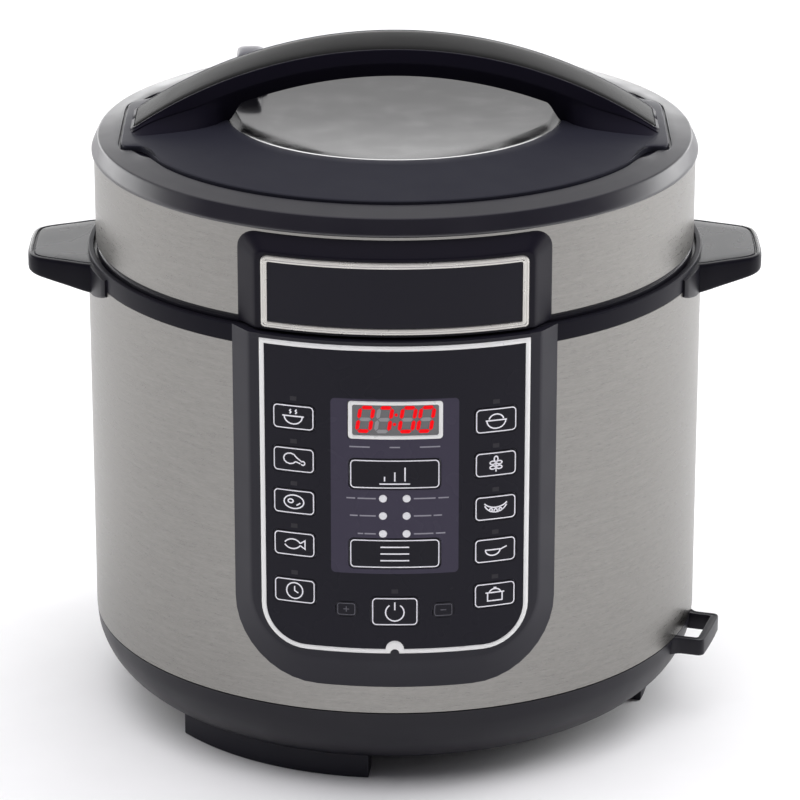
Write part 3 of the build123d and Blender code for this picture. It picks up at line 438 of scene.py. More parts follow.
def sleeve():
    """Thin sleeve with an opening for the cup's dock at the back, its rim closed."""
    azimuths = sorted([i * 1.25 for i in range(288)] + [180 - 10.88, 180 + 10.88])
    heights = (SLEEVE_BOTTOM, DOCK_LOW, DOCK_HIGH, SLEEVE_TOP)
    profile = [(BODY_RADIUS, z) for z in heights] + [(BODY_RADIUS - 0.6, z) for z in reversed(heights)]
    verts = lathe(profile, azimuths)[0]
    size = len(profile)
    open_here = [169.5 < azimuth < 189.5 for azimuth in azimuths]
    faces = []
    for i in range(len(azimuths)):
        a, b = i * size, (i + 1) % len(azimuths) * size
        for k in range(size):
            q = (k + 1) % size
            if not (open_here[i] and k in (1, 5)):
                faces.append((a + k, b + k, b + q, a + q))
        if open_here[i]:
            faces += [(a + 1, b + 1, b + 6, a + 6), (a + 2, b + 2, b + 5, a + 5)]
        if open_here[i] != open_here[i - 1]:
            faces.append((a + 1, a + 2, a + 5, a + 6))
    return verts, faces


piece("steel_sleeve", *sleeve(), "base", steel_around, "brushed_sleeve", "outer_sleeve")

ring_profile = rounded([
    (143.0, 213.0, 0.3), (143.0, 221.5, 0.9), (140.3, 221.5, 0.7), (140.3, 214.2, 0.8), (131.4, 214.2, 0.5),
    (131.4, 211.2, 0.2), (114.4, 211.2, 0), (114.4, 208.2, 0), (136.0, 208.2, 0), (136.0, 207.4, 0),
    (142.4, 207.4, 0), (142.4, 213.0, 0)])
piece("top_ring_moulding", *lathe(ring_profile), "base", ring_black, "shell_plastic", "top_ring")

foot_profile = rounded([
    (122.6, 0.0, 1.0), (122.6, 11.4, 0.3), (118.0, 9.2, 0.3), (108.8, 7.0, 0.4), (108.8, 0.0, 1.0)], 3)
FEET = (("foot_left", -29.5, "feet"), ("foot_right", 97.0, ()), ("foot_back", 204.0, ()))
for name, middle, stands in FEET:
    azimuths = [middle - 23.8 + i * 47.6 / 40 for i in range(41)]
    piece(name, *lathe(foot_profile, azimuths), "base", rubber_black, "foot_rubber", stands)


# ---------------------------------------------------------------- side handles
def handle_outline(grow, side):
    """Plan outline of a side handle, inset by a distance, root to root."""
    half = [(136.0, 36.3), (143.4, 34.4), (152.0, 30.6), (160.5, 27.0),
            (166.0, 24.0), (169.6, 19.0), (170.6, 10.0), (170.7, 0.0)]
    line = smooth_line(half, 5)
    line = line + [(x, -y) for x, y in reversed(line[:-1])]
    out = []
    for i, (x, y) in enumerate(line):
        ax, ay = line[max(0, i - 1)]
        bx, by = line[min(len(line) - 1, i + 1)]
        length = hypot(bx - ax, by - ay)
        nx, ny = (by - ay) / length, -(bx - ax) / length
        out.append(((x + nx * grow) * side, y + ny * grow))
    return out


def side_grip(name, side, node):
    """Side handle: tapering underside, rounded rim and a top plate set off by a groove."""
    def under(x):
        share = max(0.0, min(1.0, (abs(x) - 140) / 30))
        return 204.8 + 5.8 * share

    def ring(inset, height=None, lift=0.0):
        points = []
        for x, y in handle_outline(inset, side):
            points.append((x, y, under(x) + lift if height is None else height))
        return points

    loops = [
        ring(12.0, lift=0.3), ring(2.0, lift=0.0), ring(0.8, lift=0.25), ring(0.2, lift=0.9),
        ring(0.0, lift=2.0), ring(0.0, 217.4), ring(0.25, 218.3), ring(0.8, 218.85), ring(1.5, 219.0),
        ring(2.1, 219.0), ring(2.3, 218.75), ring(2.45, 218.3), ring(2.9, 218.25), ring(3.1, 218.6),
        ring(3.4, 218.95), ring(4.2, 219.0), ring(9.0, 219.0)]
    verts, faces = loft(loops, closed=False)
    count = len(loops[0])
    for row in (0, len(loops) - 1):
        base = row * count
        for k in range(count // 2):
            a, b = base + k, base + k + 1
            c, d = base + count - 1 - k, base + count - 2 - k
            faces.append((a, b, d, c) if b != d else (a, b, c))
    made = piece(name, verts, faces, "base", (grip_side, grip_top_painted_sheen), "shell_plastic", node, sharp=40)
    # faces that look up take the lighter copy: a painted sheen on the handle's top
    for cell in made.data.polygons:
        cell.material_index = 1 if cell.normal.z > 0.8 else 0


def root_flange(name, side):
    """Thin flange that spreads the handle's root over the sleeve, with sloping lower ends."""
    top = 219.0
    span, level_span = 23.5, 14.0
    columns = 48
    loops = []
    for i in range(columns + 1):
        turn = -span + i * 2 * span / columns
        end = max(0.0, (abs(turn) - level_span) / (span - level_span))
        bottom = 204.6 + 6.0 * end**1.6
        face = BODY_RADIUS + (1.6 if end < 0.97 else 1.0)
        back = BODY_RADIUS + 0.02
        corners = [(back, bottom, 0), (face, bottom + 0.5, 0.5), (face, top - 0.4, 0.4), (back, top, 0)]
        section = rounded(corners, 3)
        loops.append([around(r, z, side * 90 + turn) for r, z in section])
    verts, faces = loft(loops, cap=(True, True))
    piece(name, verts, faces, "base", grip_side, "shell_plastic", sharp=40)


side_grip("side_grip_left", -1, "side_handle_left")
side_grip("side_grip_right", 1, "side_handle_right")
root_flange("grip_flange_left", -1)
root_flange("grip_flange_right", 1)


# ---------------------------------------------------------------- control panel
def u_line(half, bottom, corner, radius, top, notch=0.0):
    """Open U-shaped line on a cylinder: down the left side, round and up the right side."""
    flat = [(-half, top + (bottom + corner - top) * i / 12) for i in range(12)]
    flat += [(-half + corner * (1 - cos(radians(9 * i))), bottom + corner * (1 - sin(radians(9 * i))))
             for i in range(10)]
    reach = half - corner
    run = [-reach + (reach - 4.6) * i / 8 for i in range(8)]
    flat += [(x, bottom) for x in run] + [(-4.6, bottom)]
    bump = notch if notch > 0 else 4.0
    for i in range(11):
        turn = radians(18 * i)
        flat.append((-bump * cos(turn), bottom + (notch * sin(turn) if notch > 0 else 0)))
    flat += [(-x, z) for x, z in reversed(flat[:31])]
    return [at_front(x, z, radius) for x, z in flat]


def u_rows(rows, top):
    """U lines from rows of half width, bottom, corner, radius, notch and drop from the top."""
    return [u_line(h, b, c, r, top - d, n) for h, b, c, r, n, d in rows]


bezel_rows = soften([
    (71.7, 55.0, 37.0, BODY_RADIUS, 0.0, 0.0),
    (64.1, 70.6, 28.0, PANEL_RADIUS, 0.0, 0.0),
    (59.6, 74.0, 20.2, PANEL_RADIUS, 1.8, 0.0)], 0.16, 5)
bezel_rows += [
    (59.55, 74.1, 20.0, PANEL_RADIUS - 2.0, 1.8, 0.0),
    (58.0, 76.0, 19.0, PANEL_RADIUS - 3.4, 1.8, 0.0),
    (66.0, 62.0, 30.0, BODY_RADIUS + 0.05, 0.0, 0.0)]


def bezel():
    """Bezel with its sloping flanks, soft outer edge and a closed flat top."""
    loops = u_rows(bezel_rows, BEZEL_TOP)
    verts, faces = loft(loops, closed=False)
    size = len(loops[0])
    for end in (0, size - 1):
        faces.append(tuple(row * size + end for row in range(len(loops))))
    # bridge across the top between the two arms, over the overlay
    start = len(verts)
    low, high = 219.0, BEZEL_TOP
    back, front = BODY_RADIUS + 0.1, PANEL_RADIUS - 0.05
    for i in range(65):
        x = -64.0 + 2 * i
        verts += [at_front(x, low, back), at_front(x, high, back), at_front(x, high - 0.25, front),
                  at_front(x, low, front)]
    for i in range(64):
        for k in range(4):
            a, b = start + 4 * i, start + 4 * i + 4
            faces.append((a + k, b + k, b + (k + 1) % 4, a + (k + 1) % 4))
    return verts, faces


piece("panel_bezel", *bezel(), "base", bezel_black, "bezel_plastic", "panel_housing", sharp=30)


# the silver line's section as insets and lifts, rounded on both edges
LINE_SECTION = [
    (0.0, -1.2), (0.0, 0.25), (0.15, 0.5), (0.5, 0.68), (1.7, 0.68), (2.05, 0.5), (2.2, 0.25), (2.2, -1.2)]
line_rows = [(59.5 - i, 74.2 + i, 20.0 - i, PANEL_RADIUS + lift, 2.0 + i, i) for i, lift in LINE_SECTION]
line_loops = u_rows(line_rows + line_rows[:1], PANEL_LINE_TOP)
piece("panel_line", *loft(line_loops, closed=False), "base", frame_white, "frame_white", "panel_frame")
top_run = []
for i in range(65):
    x = -59.4 + 118.8 * i / 64
    top_run.append([at_front(x, PANEL_LINE_TOP - drop, PANEL_RADIUS + lift) for drop, lift in LINE_SECTION])
piece("panel_line_top", *loft(top_run, cap=(True, True)), "base", frame_white, "frame_white")


# ---------------------------------------------------------------- wrapped flat pieces
def slab(outline, low, high, edge, steps=3):
    """Flat solid over a (u, v) outline with its upper edge rounded, as a bmesh."""
    shape = bmesh.new()
    base = [shape.verts.new((u, v, low)) for u, v in outline]
    face = shape.faces.new(base)
    lifted = bmesh.ops.extrude_face_region(shape, geom=[face])
    top = [g for g in lifted["geom"] if isinstance(g, bmesh.types.BMVert)]
    bmesh.ops.translate(shape, verts=top, vec=(0, 0, high - low))
    rim = [e for e in shape.edges if all(abs(v.co.z - high) < 1e-6 for v in e.verts)]
    if edge > 0:
        bmesh.ops.bevel(shape, geom=rim, offset=edge, segments=steps, profile=0.6, affect="EDGES")
    return shape


def wrap(shape, radius, azimuth, height, pitch=1.6):
    """Cut a flat piece into narrow columns and bend it round the cooker's axis."""
    us = [v.co.x for v in shape.verts]
    u = min(us) + pitch
    while u < max(us) - 0.2:
        geom = list(shape.verts) + list(shape.edges) + list(shape.faces)
        bmesh.ops.bisect_plane(shape, geom=geom, dist=1e-5, plane_co=(u, 0, 0), plane_no=(1, 0, 0))
        u += pitch
    for v in shape.verts:
        turn = radians(azimuth) + v.co.x / radius
        reach = v.co.z
        v.co = Vector((reach * sin(turn), -reach * cos(turn), height + v.co.y)) * MM


def stroke(shape, points, width, level, closed=False, lift=0.03, ink=0):
    """Thin raised line through (u, v) points."""
    count = len(points)
    rows = []
    for i in range(count):
        before = Vector(points[i - 1] if closed or i else points[0])
        after = Vector(points[(i + 1) % count] if closed or i < count - 1 else points[-1])
        here = Vector(points[i])
        a = (here - before).normalized() if (here - before).length > 1e-9 else (after - here).normalized()
        b = (after - here).normalized() if (after - here).length > 1e-9 else a
        along = (a + b).normalized() if (a + b).length > 1e-6 else a
        side = Vector((-along.y, along.x))
        side *= width / 2 / max(0.5, side.dot(Vector((-a.y, a.x))))
        rows.append([shape.verts.new((*place, z))
                     for z in (level, level + lift) for place in (here + side, here - side)])
    cells = []
    for i in range(count if closed else count - 1):
        p, q = rows[i], rows[(i + 1) % count]
        cells += [(p[2], p[3], q[3], q[2]), (p[0], p[2], q[2], q[0]), (p[3], p[1], q[1], q[3])]
    if not closed:
        cells += [(p[0], p[1], p[3], p[2]) for p in (rows[0], rows[-1])]
    for cell in cells:
        shape.faces.new(cell).material_index = ink


def oval(u, v, size_u, size_v, steps=10):
    """Closed ellipse, its last point on its first."""
    return arc(u, v, size_u, size_v, 0, 360, steps)


# pictograms as lists of strokes about the key's centre, in millimetres
STEAM = [(-1.6, 1.6), (-1.0, 2.3), (-1.6, 3.0), (-1.0, 3.7)]
ICONS = {
    # bowl with steam
    "key_l1": [arc(0, 0.4, 4.2, 3.6, 180, 360), [(-5.0, 0.5), (5.0, 0.5)], STEAM,
               [(u + 2.6, v) for u, v in STEAM]],
    # drumstick
    "key_l2": [arc(-1.6, 0.5, 3.0, 2.5, 20, 330), [(1.2, 1.3), (3.8, -0.6)], [(1.0, -0.8), (3.2, -1.6)],
               arc(4.3, -1.3, 0.9, 0.9, -150, 140, 8)],
    # steak
    "key_l3": [oval(0, 0, 4.6, 3.2, 20), oval(-1.5, 0.3, 1.2, 0.9), [(1.2, -1.6), (3.0, -0.4)]],
    # fish
    "key_l4": [arc(-0.8, -1.9, 4.4, 4.2, 35, 145), arc(-0.8, 1.9, 4.4, 4.2, -35, -145),
               [(2.8, 0.5), (5.0, 2.0), (5.0, -2.0), (2.8, -0.5)]],
    # clock
    "key_l5": [oval(0, 0, 3.8, 3.8, 20), [(0, 2.2), (0, 0), (1.7, -1.0)]],
    # rice bowl
    "key_r1": [arc(0, 0, 4.4, 3.8, 180, 360), [(-4.9, 0), (4.9, 0)], arc(0, 0.1, 3.4, 2.8, 10, 170)],
    # grain ear
    "key_r2": [[(0, -3.6), (0, 1.2)], oval(0, 2.4, 0.9, 1.3),
               *(oval(u, v, 1.3, 0.8) for v in (0.7, -1.5) for u in (-1.5, 1.5))],
    # bean pod
    "key_r3": [arc(0, 3.6, 5.6, 5.6, 205, 335, 14), arc(0, 5.2, 6.4, 5.0, 215, 325, 12),
               oval(-2.2, -0.9, 0.7, 0.7, 8), oval(0, -1.3, 0.8, 0.8, 8), oval(2.2, -0.9, 0.7, 0.7, 8)],
    # pan
    "key_r4": [arc(-1.2, 0.2, 3.4, 2.6, 180, 360), [(-4.8, 0.3), (2.4, 0.3)], [(2.4, 0.2), (5.4, 1.4)]],
    # lidded pot
    "key_r5": [[(-3.4, 1.0), (-3.4, -2.8), (3.4, -2.8), (3.4, 1.0)], [(-4.4, 1.1), (4.4, 1.1)],
               arc(0, 1.1, 2.6, 1.8, 0, 180), [(-0.7, 3.4), (0.7, 3.4)]],
    # three rising bars on a line
    "key_level": [*([(u, -2.6), (u, top)] for u, top in ((-3.6, -0.8), (0, 0.8), (3.6, 2.6))),
                  [(-5.4, -3.6), (5.4, -3.6)]],
    # list
    "key_menu": [[(-4.4, v), (4.4, v)] for v in (2.2, 0, -2.2)],
    # power ring
    "key_cancel": [arc(0, -0.3, 3.3, 3.3, 125, 415, 16), [(0, 0.6), (0, 3.6)]],
    "key_plus": [[(-1.3, 0), (1.3, 0)], [(0, -1.3), (0, 1.3)]],
    "key_minus": [[(-1.3, 0), (1.3, 0)]],
}
ICON_SCALES = {"key_menu": 1.45, "key_level": 1.25, "key_cancel": 1.25}
LEFT_HEIGHTS = (184.3, 164.3, 144.4, 124.3, 101.9)
RIGHT_HEIGHTS = (182.9, 162.3, 141.6, 121.4, 100.0)
COLUMN_AZIMUTH = 17.35
KEY_WIDTHS = {f"key_{column}{i + 1}": 19.6 for column in "lr" for i in range(5)}
KEY_WIDTHS |= {"key_level": 40.4, "key_menu": 40.6, "key_cancel": 21.2, "key_plus": 9.2, "key_minus": 9.2}


def key_pad(node, width):
    """Key with its printed frame and pictogram, at the place of its CAD node."""
    low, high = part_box(node)
    middle = (low + high) / 2 / MM
    height = (high.z - low.z) / MM
    small = node in ("key_plus", "key_minus")
    corner, frame_corner, frame_line, line = (1.2, 0.9, 0.28, 0.4) if small else (2.2, 1.7, 0.5, 0.62)
    key = slab(round_box(width / 2, height / 2, corner), 148.62, KEY_FACE, 0.3)
    outline = round_box(width / 2 - 0.75, height / 2 - 0.75, frame_corner)
    stroke(key, outline, frame_line, KEY_FACE, closed=True, ink=1)
    scale = ICON_SCALES.get(node, 1.0)
    for one in ICONS[node]:
        points = [(u * scale, v * scale) for u, v in one]
        loop = (Vector(points[0]) - Vector(points[-1])).length < 1e-6
        stroke(key, points[:-1] if loop else points, line, KEY_FACE, closed=loop, ink=1)
    finish = [key_gloss, print_faint if small else print_white]
    azimuth = degrees(atan2(middle.x, -middle.y))
    flat_piece("pad_" + node, key, KEY_FACE, azimuth, middle.z, node, finish, node)


def flat_piece(name, shape, radius, azimuth, height, body, finish, stands_for=()):
    """Bend a flat shape round the cooker and finish it as a piece."""
    wrap(shape, radius, azimuth, height)
    mesh = bpy.data.meshes.new(name)
    shape.to_mesh(mesh)
    shape.free()
    dress(name, mesh, body, finish, stands_for, sharp=40)


for node, width in KEY_WIDTHS.items():
    key_pad(node, width)


# ---------------------------------------------------------------- display
DISPLAY_Z = 185.1
DIGITS_Z = DISPLAY_Z + 0.4
DISPLAY_AZIMUTH = 0.12
WINDOW_FACE = 149.2
DIGIT_LOW, DIGIT_FACE = 149.22, 149.30
LENS_BACK, LENS_FACE = 147.9, 149.5


def ring_slab(outer, inner, low, high):
    """Flat frame between two outlines of equal length, with soft upper edges."""
    def line(share, level):
        return [(*between(a, b, share), level) for a, b in zip(outer, inner)]

    edge = high - 0.12
    levels = ((0, low), (0, edge), (0.12, high), (0.88, high), (1, edge), (1, low))
    verts, faces = loft([line(share, level) for share, level in levels])
    shape = bmesh.new()
    made = [shape.verts.new(v) for v in verts]
    for f in faces:
        shape.faces.new([made[i] for i in f])
    return shape


SEGMENTS = {"a": ((-1, 2), (1, 2)), "b": ((1, 2), (1, 0)), "c": ((1, 0), (1, -2)), "d": ((-1, -2), (1, -2)),
            "e": ((-1, 0), (-1, -2)), "f": ((-1, 2), (-1, 0)), "g": ((-1, 0), (1, 0))}
LIT = {"0": "abcdef", "7": "abc"}
DIGIT_HALF_WIDTH = 2.85
DIGIT_HALF_HEIGHT = 5.5
SEGMENT_HALF_WIDTH = 0.86
SLANT = 0.16


def segment(shape, place, name):
    """One slanted segment of a digit as a six-sided raised bar."""
    (ua, va), (ub, vb) = SEGMENTS[name]
    a = Vector((ua * DIGIT_HALF_WIDTH, va * DIGIT_HALF_HEIGHT / 2))
    b = Vector((ub * DIGIT_HALF_WIDTH, vb * DIGIT_HALF_HEIGHT / 2))
    along = (b - a).normalized()
    side = Vector((-along.y, along.x)) * SEGMENT_HALF_WIDTH
    a, b = a + along * 0.28, b - along * 0.28
    slope = along * 0.9
    corners = [a, a + slope + side, b - slope + side, b, b - slope - side, a + slope - side]
    ring = []
    for level in (DIGIT_LOW, DIGIT_FACE):
        ring.append([shape.verts.new((place + p.x + SLANT * p.y, p.y, level)) for p in corners])
    shape.faces.new(ring[1])
    for k in range(6):
        q = (k + 1) % 6
        shape.faces.new((ring[0][k], ring[0][q], ring[1][q], ring[1][k]))


window = slab(round_box(20.85, 8.75, 0.8), LENS_BACK, WINDOW_FACE, 0.05, 1)
flat_piece("display_face", window, WINDOW_FACE, DISPLAY_AZIMUTH, DISPLAY_Z, "base", lcd_grey,
           "display_window")
surround = ring_slab(round_box(20.9, 8.8, 1.6), round_box(19.1, 7.1, 1.0), PANEL_RADIUS, LENS_FACE)
flat_piece("display_surround", surround, LENS_FACE, DISPLAY_AZIMUTH, DISPLAY_Z, "base", frame_white)
lit, unlit = bmesh.new(), bmesh.new()
for place, digit in ((-13.3, "0"), (-5.0, "7"), (5.3, "0"), (13.4, "0")):
    for name in SEGMENTS:
        segment(lit if name in LIT[digit] else unlit, place, name)
for v in (2.2, -2.2):
    colon_dot = oval(-0.1 + SLANT * v, v, 0.75, 0.75, 16)[:-1]
    lit.faces.new([lit.verts.new((*point, DIGIT_FACE)) for point in colon_dot])
flat_piece("display_digits_lit", lit, WINDOW_FACE, DISPLAY_AZIMUTH, DIGITS_Z, "base", digit_red)
flat_piece("display_digits_unlit", unlit, WINDOW_FACE, DISPLAY_AZIMUTH, DIGITS_Z, "base", digit_off)

# ---------------------------------------------------------------- overlay marks
# plain bars where the real panel has words: heights, then left and right lengths
LAMP_ROWS = {148.4: (13.0, 15.5), 140.2: (11.5, 12.5), 131.7: (8.0, 14.0)}
marks = bmesh.new()
for z, lengths in LAMP_ROWS.items():
    for side, length in zip((-1, 1), lengths):
        for start, stop in ((0.0, 0.62), (0.70, 1.0)):
            stroke(marks, [(side * (8.4 + length * share), z) for share in (start, stop)], 0.62, MARK_FACE)
for u, length in ((-15.5, 9.0), (0.0, 4.6), (15.5, 9.0)):
    stroke(marks, [(u - length / 2, 172.6), (u + length / 2, 172.6)], 0.62, MARK_FACE)
flat_piece("overlay_marks", marks, MARK_FACE, 0.0, 0.0, "base", print_grey)

# unlit tell-tales above the keys
tell_face = MARK_FACE - 0.01
tells = [(side * radians(COLUMN_AZIMUTH) * MARK_FACE, z + 8.7)
         for side, heights in ((-1, LEFT_HEIGHTS), (1, RIGHT_HEIGHTS)) for z in heights]
tell = bmesh.new()
for u, z in [*tells, (0.0, 104.2)]:
    stroke(tell, [(u - 1.5, z), (u + 1.5, z)], 2.0, tell_face, lift=0.02)
tell_tale = moulded("tell_tale", (0.028, 0.026, 0.032), 0.35, grain=0.004)
flat_piece("key_tell_tales", tell, tell_face, 0.0, 0.0, "base", tell_tale)

for number, (azimuth, z) in enumerate([(a, z) for a in (-2.0, 2.0) for z in LAMP_ROWS]):
    lens = slab(oval(0, 0, 1.8, 1.8, 24)[:-1], LENS_BACK, LENS_FACE, 0.3)
    stands = ("menu_lamps",) if number == 0 else ()
    name = f"menu_lamp_{number + 1}"
    flat_piece(name, lens, LENS_FACE, azimuth, z, "base", lamp_white, stands)


# ---------------------------------------------------------------- lid shells
band = [(139.3, 224.6), (139.3, 265.8), (138.7, 265.8), (138.7, 224.6)]
piece("lid_steel_band", *lathe(band), "lid", steel_around, "brushed_sleeve", "lid_band")
lower_ring = rounded([
    (121.3, 219.9, 0.3), (133.6, 219.9, 0.3), (133.6, 215.1, 0.6), (138.9, 215.1, 0.8),
    (138.9, 222.6, 0.3), (138.4, 223.0, 0.2), (138.4, 224.4, 0.2), (138.65, 224.55, 0),
    (138.65, 228.5, 0), (136.6, 228.5, 0), (136.6, 222.4, 0), (121.3, 222.4, 0)])
piece("lid_lower_ring_moulding", *lathe(lower_ring), "lid", shell_black, "shell_plastic", "lid_lower_ring")


# angle from the side and radius of the cover's edge and of the cap's inner edge, round the ears
COVER_EDGE = [
    (0.0, 125.2), (6.0, 125.9), (11.0, 127.5), (13.6, 128.6), (15.4, 128.7), (16.6, 128.0), (17.6, 125.2),
    (18.5, 122.6), (20.2, 120.9), (22.6, 120.5), (26.0, 121.2), (31.0, 122.3), (36.0, 122.5), (90.0, 122.5)]
CAP_EDGE = [
    (0.0, 126.3), (6.0, 127.0), (11.0, 128.7), (13.6, 129.8), (15.8, 130.2), (17.2, 129.6), (18.0, 127.6),
    (18.6, 126.4), (20.6, 125.6), (23.4, 124.7), (25.8, 123.0), (28.2, 122.9), (34.0, 123.6), (90.0, 123.6)]


def along(table, azimuth):
    """Value of a table at an angle from the side, with a smooth run between its rows."""
    away = abs(abs((azimuth + 180) % 360 - 180) - 90)
    rows = [table[0], *table, table[-1]]
    for a, b, c, d in zip(rows, rows[1:], rows[2:], rows[3:]):
        if away <= c[0]:
            run = c[0] - b[0]
            t, rise = (away - b[0]) / run, (c[1] - b[1]) / run
            before = (b[1] - a[1]) / (b[0] - a[0]) if b[0] > a[0] else 0.0
            after = (d[1] - c[1]) / (d[0] - c[0]) if d[0] > c[0] else rise
            start, stop = (before + rise) / 2 * run, (rise + after) / 2 * run
            ease = 3 * t**2 - 2 * t**3
            return b[1] * (1 - ease) + c[1] * ease + start * (t**3 - 2 * t**2 + t) + stop * (t**3 - t**2)
    return table[-1][1]


def cover_z(radius):
    """Height of the gently coned cover."""
    return COVER_CROWN - COVER_SLOPE * (radius - COVER_HOLE)


# close steps round the ears at the sides, wider ones elsewhere
AZIMUTHS = sorted({(side + sign * step) % 360 for side in (90, 270) for sign in (-1, 1)
                   for step in [i * 0.5 for i in range(73)] + [36 + i * 1.5 for i in range(37)]})


def polar(rows):
    """Closed ring mesh whose profile changes with the azimuth; rows(azimuth) gives (r, z) points."""
    loops = [[around(r, z, azimuth) for r, z in rows(azimuth)] for azimuth in AZIMUTHS]
    return loft(loops + loops[:1])


def cover_rows(azimuth):
    """Section of the satin cover, from its hole to its edge and back underneath."""
    edge = along(COVER_EDGE, azimuth)
    rows = [(74.0, 280.5), (77.9, 280.5), (77.9, 281.9), (78.05, 282.25)]
    rows += [(r, cover_z(r)) for r in (78.5, 84, 90, 97, 104, 111, 117, 121, edge - 0.9)]
    rows += [(edge - inset, cover_z(edge) - drop) for inset, drop in ((0.35, 0.05), (0.08, 0.3), (0, 0.8))]
    rows += [(edge, 274.3), (edge - 1.6, 274.3), (118.0, 275.9), (100.0, 278.1), (79.5, 280.2),
             (76.0, 279.1), (74.0, 279.1)]
    return rows


piece("lid_cover_moulding", *polar(cover_rows), "lid", cover_black, "cover_satin", "lid_cover", sharp=38)


def cap_z(radius):
    """Height of the cap ring's sloping top."""
    return 275.9 - (radius - 123.6) * 2.0 / 13.9


def cap_rows(azimuth):
    """Section of the cap ring: sloping top, crisp crease, flared flank, then the inside."""
    edge = along(CAP_EDGE, azimuth)
    rows = [(edge, 274.0), (edge, cap_z(edge) - 0.3), (edge + 0.12, cap_z(edge) - 0.08)]
    rows += [(r, cap_z(r)) for r in (edge + 0.4, max(edge + 0.8, 130.6), 133.5, 136.6, 136.95)]
    rows += [(137.28, 273.82), (137.5, 273.6), (137.66, 273.28), (137.82, 272.92), (139.9, 268.4),
             (140.2, 267.6), (140.38, 267.0), (140.35, 266.5), (140.2, 266.15), (139.9, 265.95),
             (138.8, 265.9), (138.6, 265.9)]
    rows += [(138.6, 258.0), (136.8, 258.0), (136.8, 267.0), (135.0, 269.3), (118.2, 271.3), (118.2, 273.9),
             (edge - 0.1, 273.95)]
    return rows


piece("lid_cap_moulding", *polar(cap_rows), "lid", cap_black, "cap_gloss", "lid_cap", sharp=38)

disc = [(0.0, 280.3)]
disc += [(r, 280.3 + 1.25 * (r / 77.6) ** 2) for r in (6, 14, 22, 30, 38, 46, 54, 62, 69, 74, 76.6)]
disc += [(77.2, 281.62), (77.6, 281.6), (77.7, 281.4), (77.7, 280.7), (60.0, 280.1), (30.0, 279.6),
         (0.0, 279.5)]
piece("lid_disc_plate", *lathe(disc), "lid", disc_steel, "disc_chrome", "lid_disc", sharp=40)


# ---------------------------------------------------------------- lid panel
def plate_line(half, low, high, low_corner, high_corner, radius):
    """Closed outline with its own lower and upper corner radii, on a cylinder."""
    corners = (
        (half - high_corner, high - high_corner, high_corner),
        (high_corner - half, high - high_corner, high_corner),
        (low_corner - half, low + low_corner, low_corner), (half - low_corner, low + low_corner, low_corner))
    arcs = [arc(u, v, r, r, 90 * k, 90 * k + 90, 8) for k, (u, v, r) in enumerate(corners)]
    flat = []
    for here, after, cells in zip(arcs, arcs[1:] + arcs[:1], (40, 8, 40, 8)):
        flat += here + [between(here[-1], after[0], k / cells) for k in range(1, cells)]
    return [at_front(x, z, radius) for x, z in flat]


lid_rows = soften([
    (69.0, 222.3, 264.6, 0.5, 8.5, 139.32),
    (61.4, 222.3, 258.2, 0.5, 4.6, LID_PANEL_RADIUS),
    (58.75, 223.35, 256.65, 1.2, 3.5, LID_PANEL_RADIUS)], 0.2, 5)
lid_rows += [
    (58.7, 223.4, 256.6, 1.2, 3.5, LID_PANEL_RADIUS - 1.0),
    (57.0, 225.0, 255.0, 1.2, 3.0, LID_PANEL_RADIUS - 2.5),
    (64.0, 224.0, 258.0, 1.2, 5.0, 139.4)]
loops = [plate_line(*row) for row in lid_rows + lid_rows[:1]]
piece("lid_bezel", *loft(loops), "lid", lid_bezel_black, "bezel_plastic", "lid_panel_housing", sharp=30)

# insets and lifts of the silver frame: two raised lines with a groove between them
FRAME_SECTION = [
    (0.0, -0.8), (0.0, 0.3), (0.12, 0.52), (0.35, 0.62), (0.85, 0.62), (1.0, 0.45), (1.15, 0.34),
    (1.75, 0.34), (1.9, 0.45), (2.05, 0.62), (2.5, 0.62), (2.7, 0.52), (2.8, 0.3), (2.8, -0.8)]
loops = []
for inset, lift in FRAME_SECTION + FRAME_SECTION[:1]:
    low_corner, high_corner = max(0.5, 1.4 - inset * 0.3), max(0.8, 3.5 - inset)
    loops.append(plate_line(
        58.6 - inset, 223.5 + inset, 256.5 - inset, low_corner, high_corner, LID_PANEL_RADIUS + lift))
piece("lid_line", *loft(loops), "lid", frame_silver, "frame_silver", "lid_panel_frame")
badge = slab(round_box(radians(22.45) * LID_PANEL_RADIUS, 13.65, 0.7), 145.1, 146.08, 0.15, 2)
flat_piece("lid_badge_plate", badge, 146.08, 0.0, 240.0, "lid", badge_gloss, "lid_badge")


# ---------------------------------------------------------------- arch handle
def on_arch(radius, x):
    """Height of an arc of the handle at a distance from the middle."""
    return ARCH_CENTRE + sqrt(radius * radius - x * x)


def smooth_step(value, low, high):
    t = max(0.0, min(1.0, (value - low) / (high - low)))
    return t * t * (3 - 2 * t)


# half width of the handle's feet at distances from the middle
FOOT_PLAN = [(76.0, 9.0), (77.0, 13.5), (79.0, 17.6), (82.0, 20.6), (86.0, 23.2),
             (91.0, 25.0), (97.0, 25.7), (106.0, 26.0), (115.0, 26.1), (ARCH_END, 26.1)]


def foot_width(x):
    for (xa, wa), (xb, wb) in zip(FOOT_PLAN, FOOT_PLAN[1:]):
        if x <= xb:
            return wa + (wb - wa) * max(0.0, (x - xa) / (xb - xa))
    return FOOT_PLAN[-1][1]


def end_trim(far, corner, end=ARCH_END):
    """How far a corner rounded in plan has drawn the side in at a distance from the middle."""
    run = max(0.0, min(corner, far - (end - corner)))
    return corner - sqrt(corner * corner - run * run)


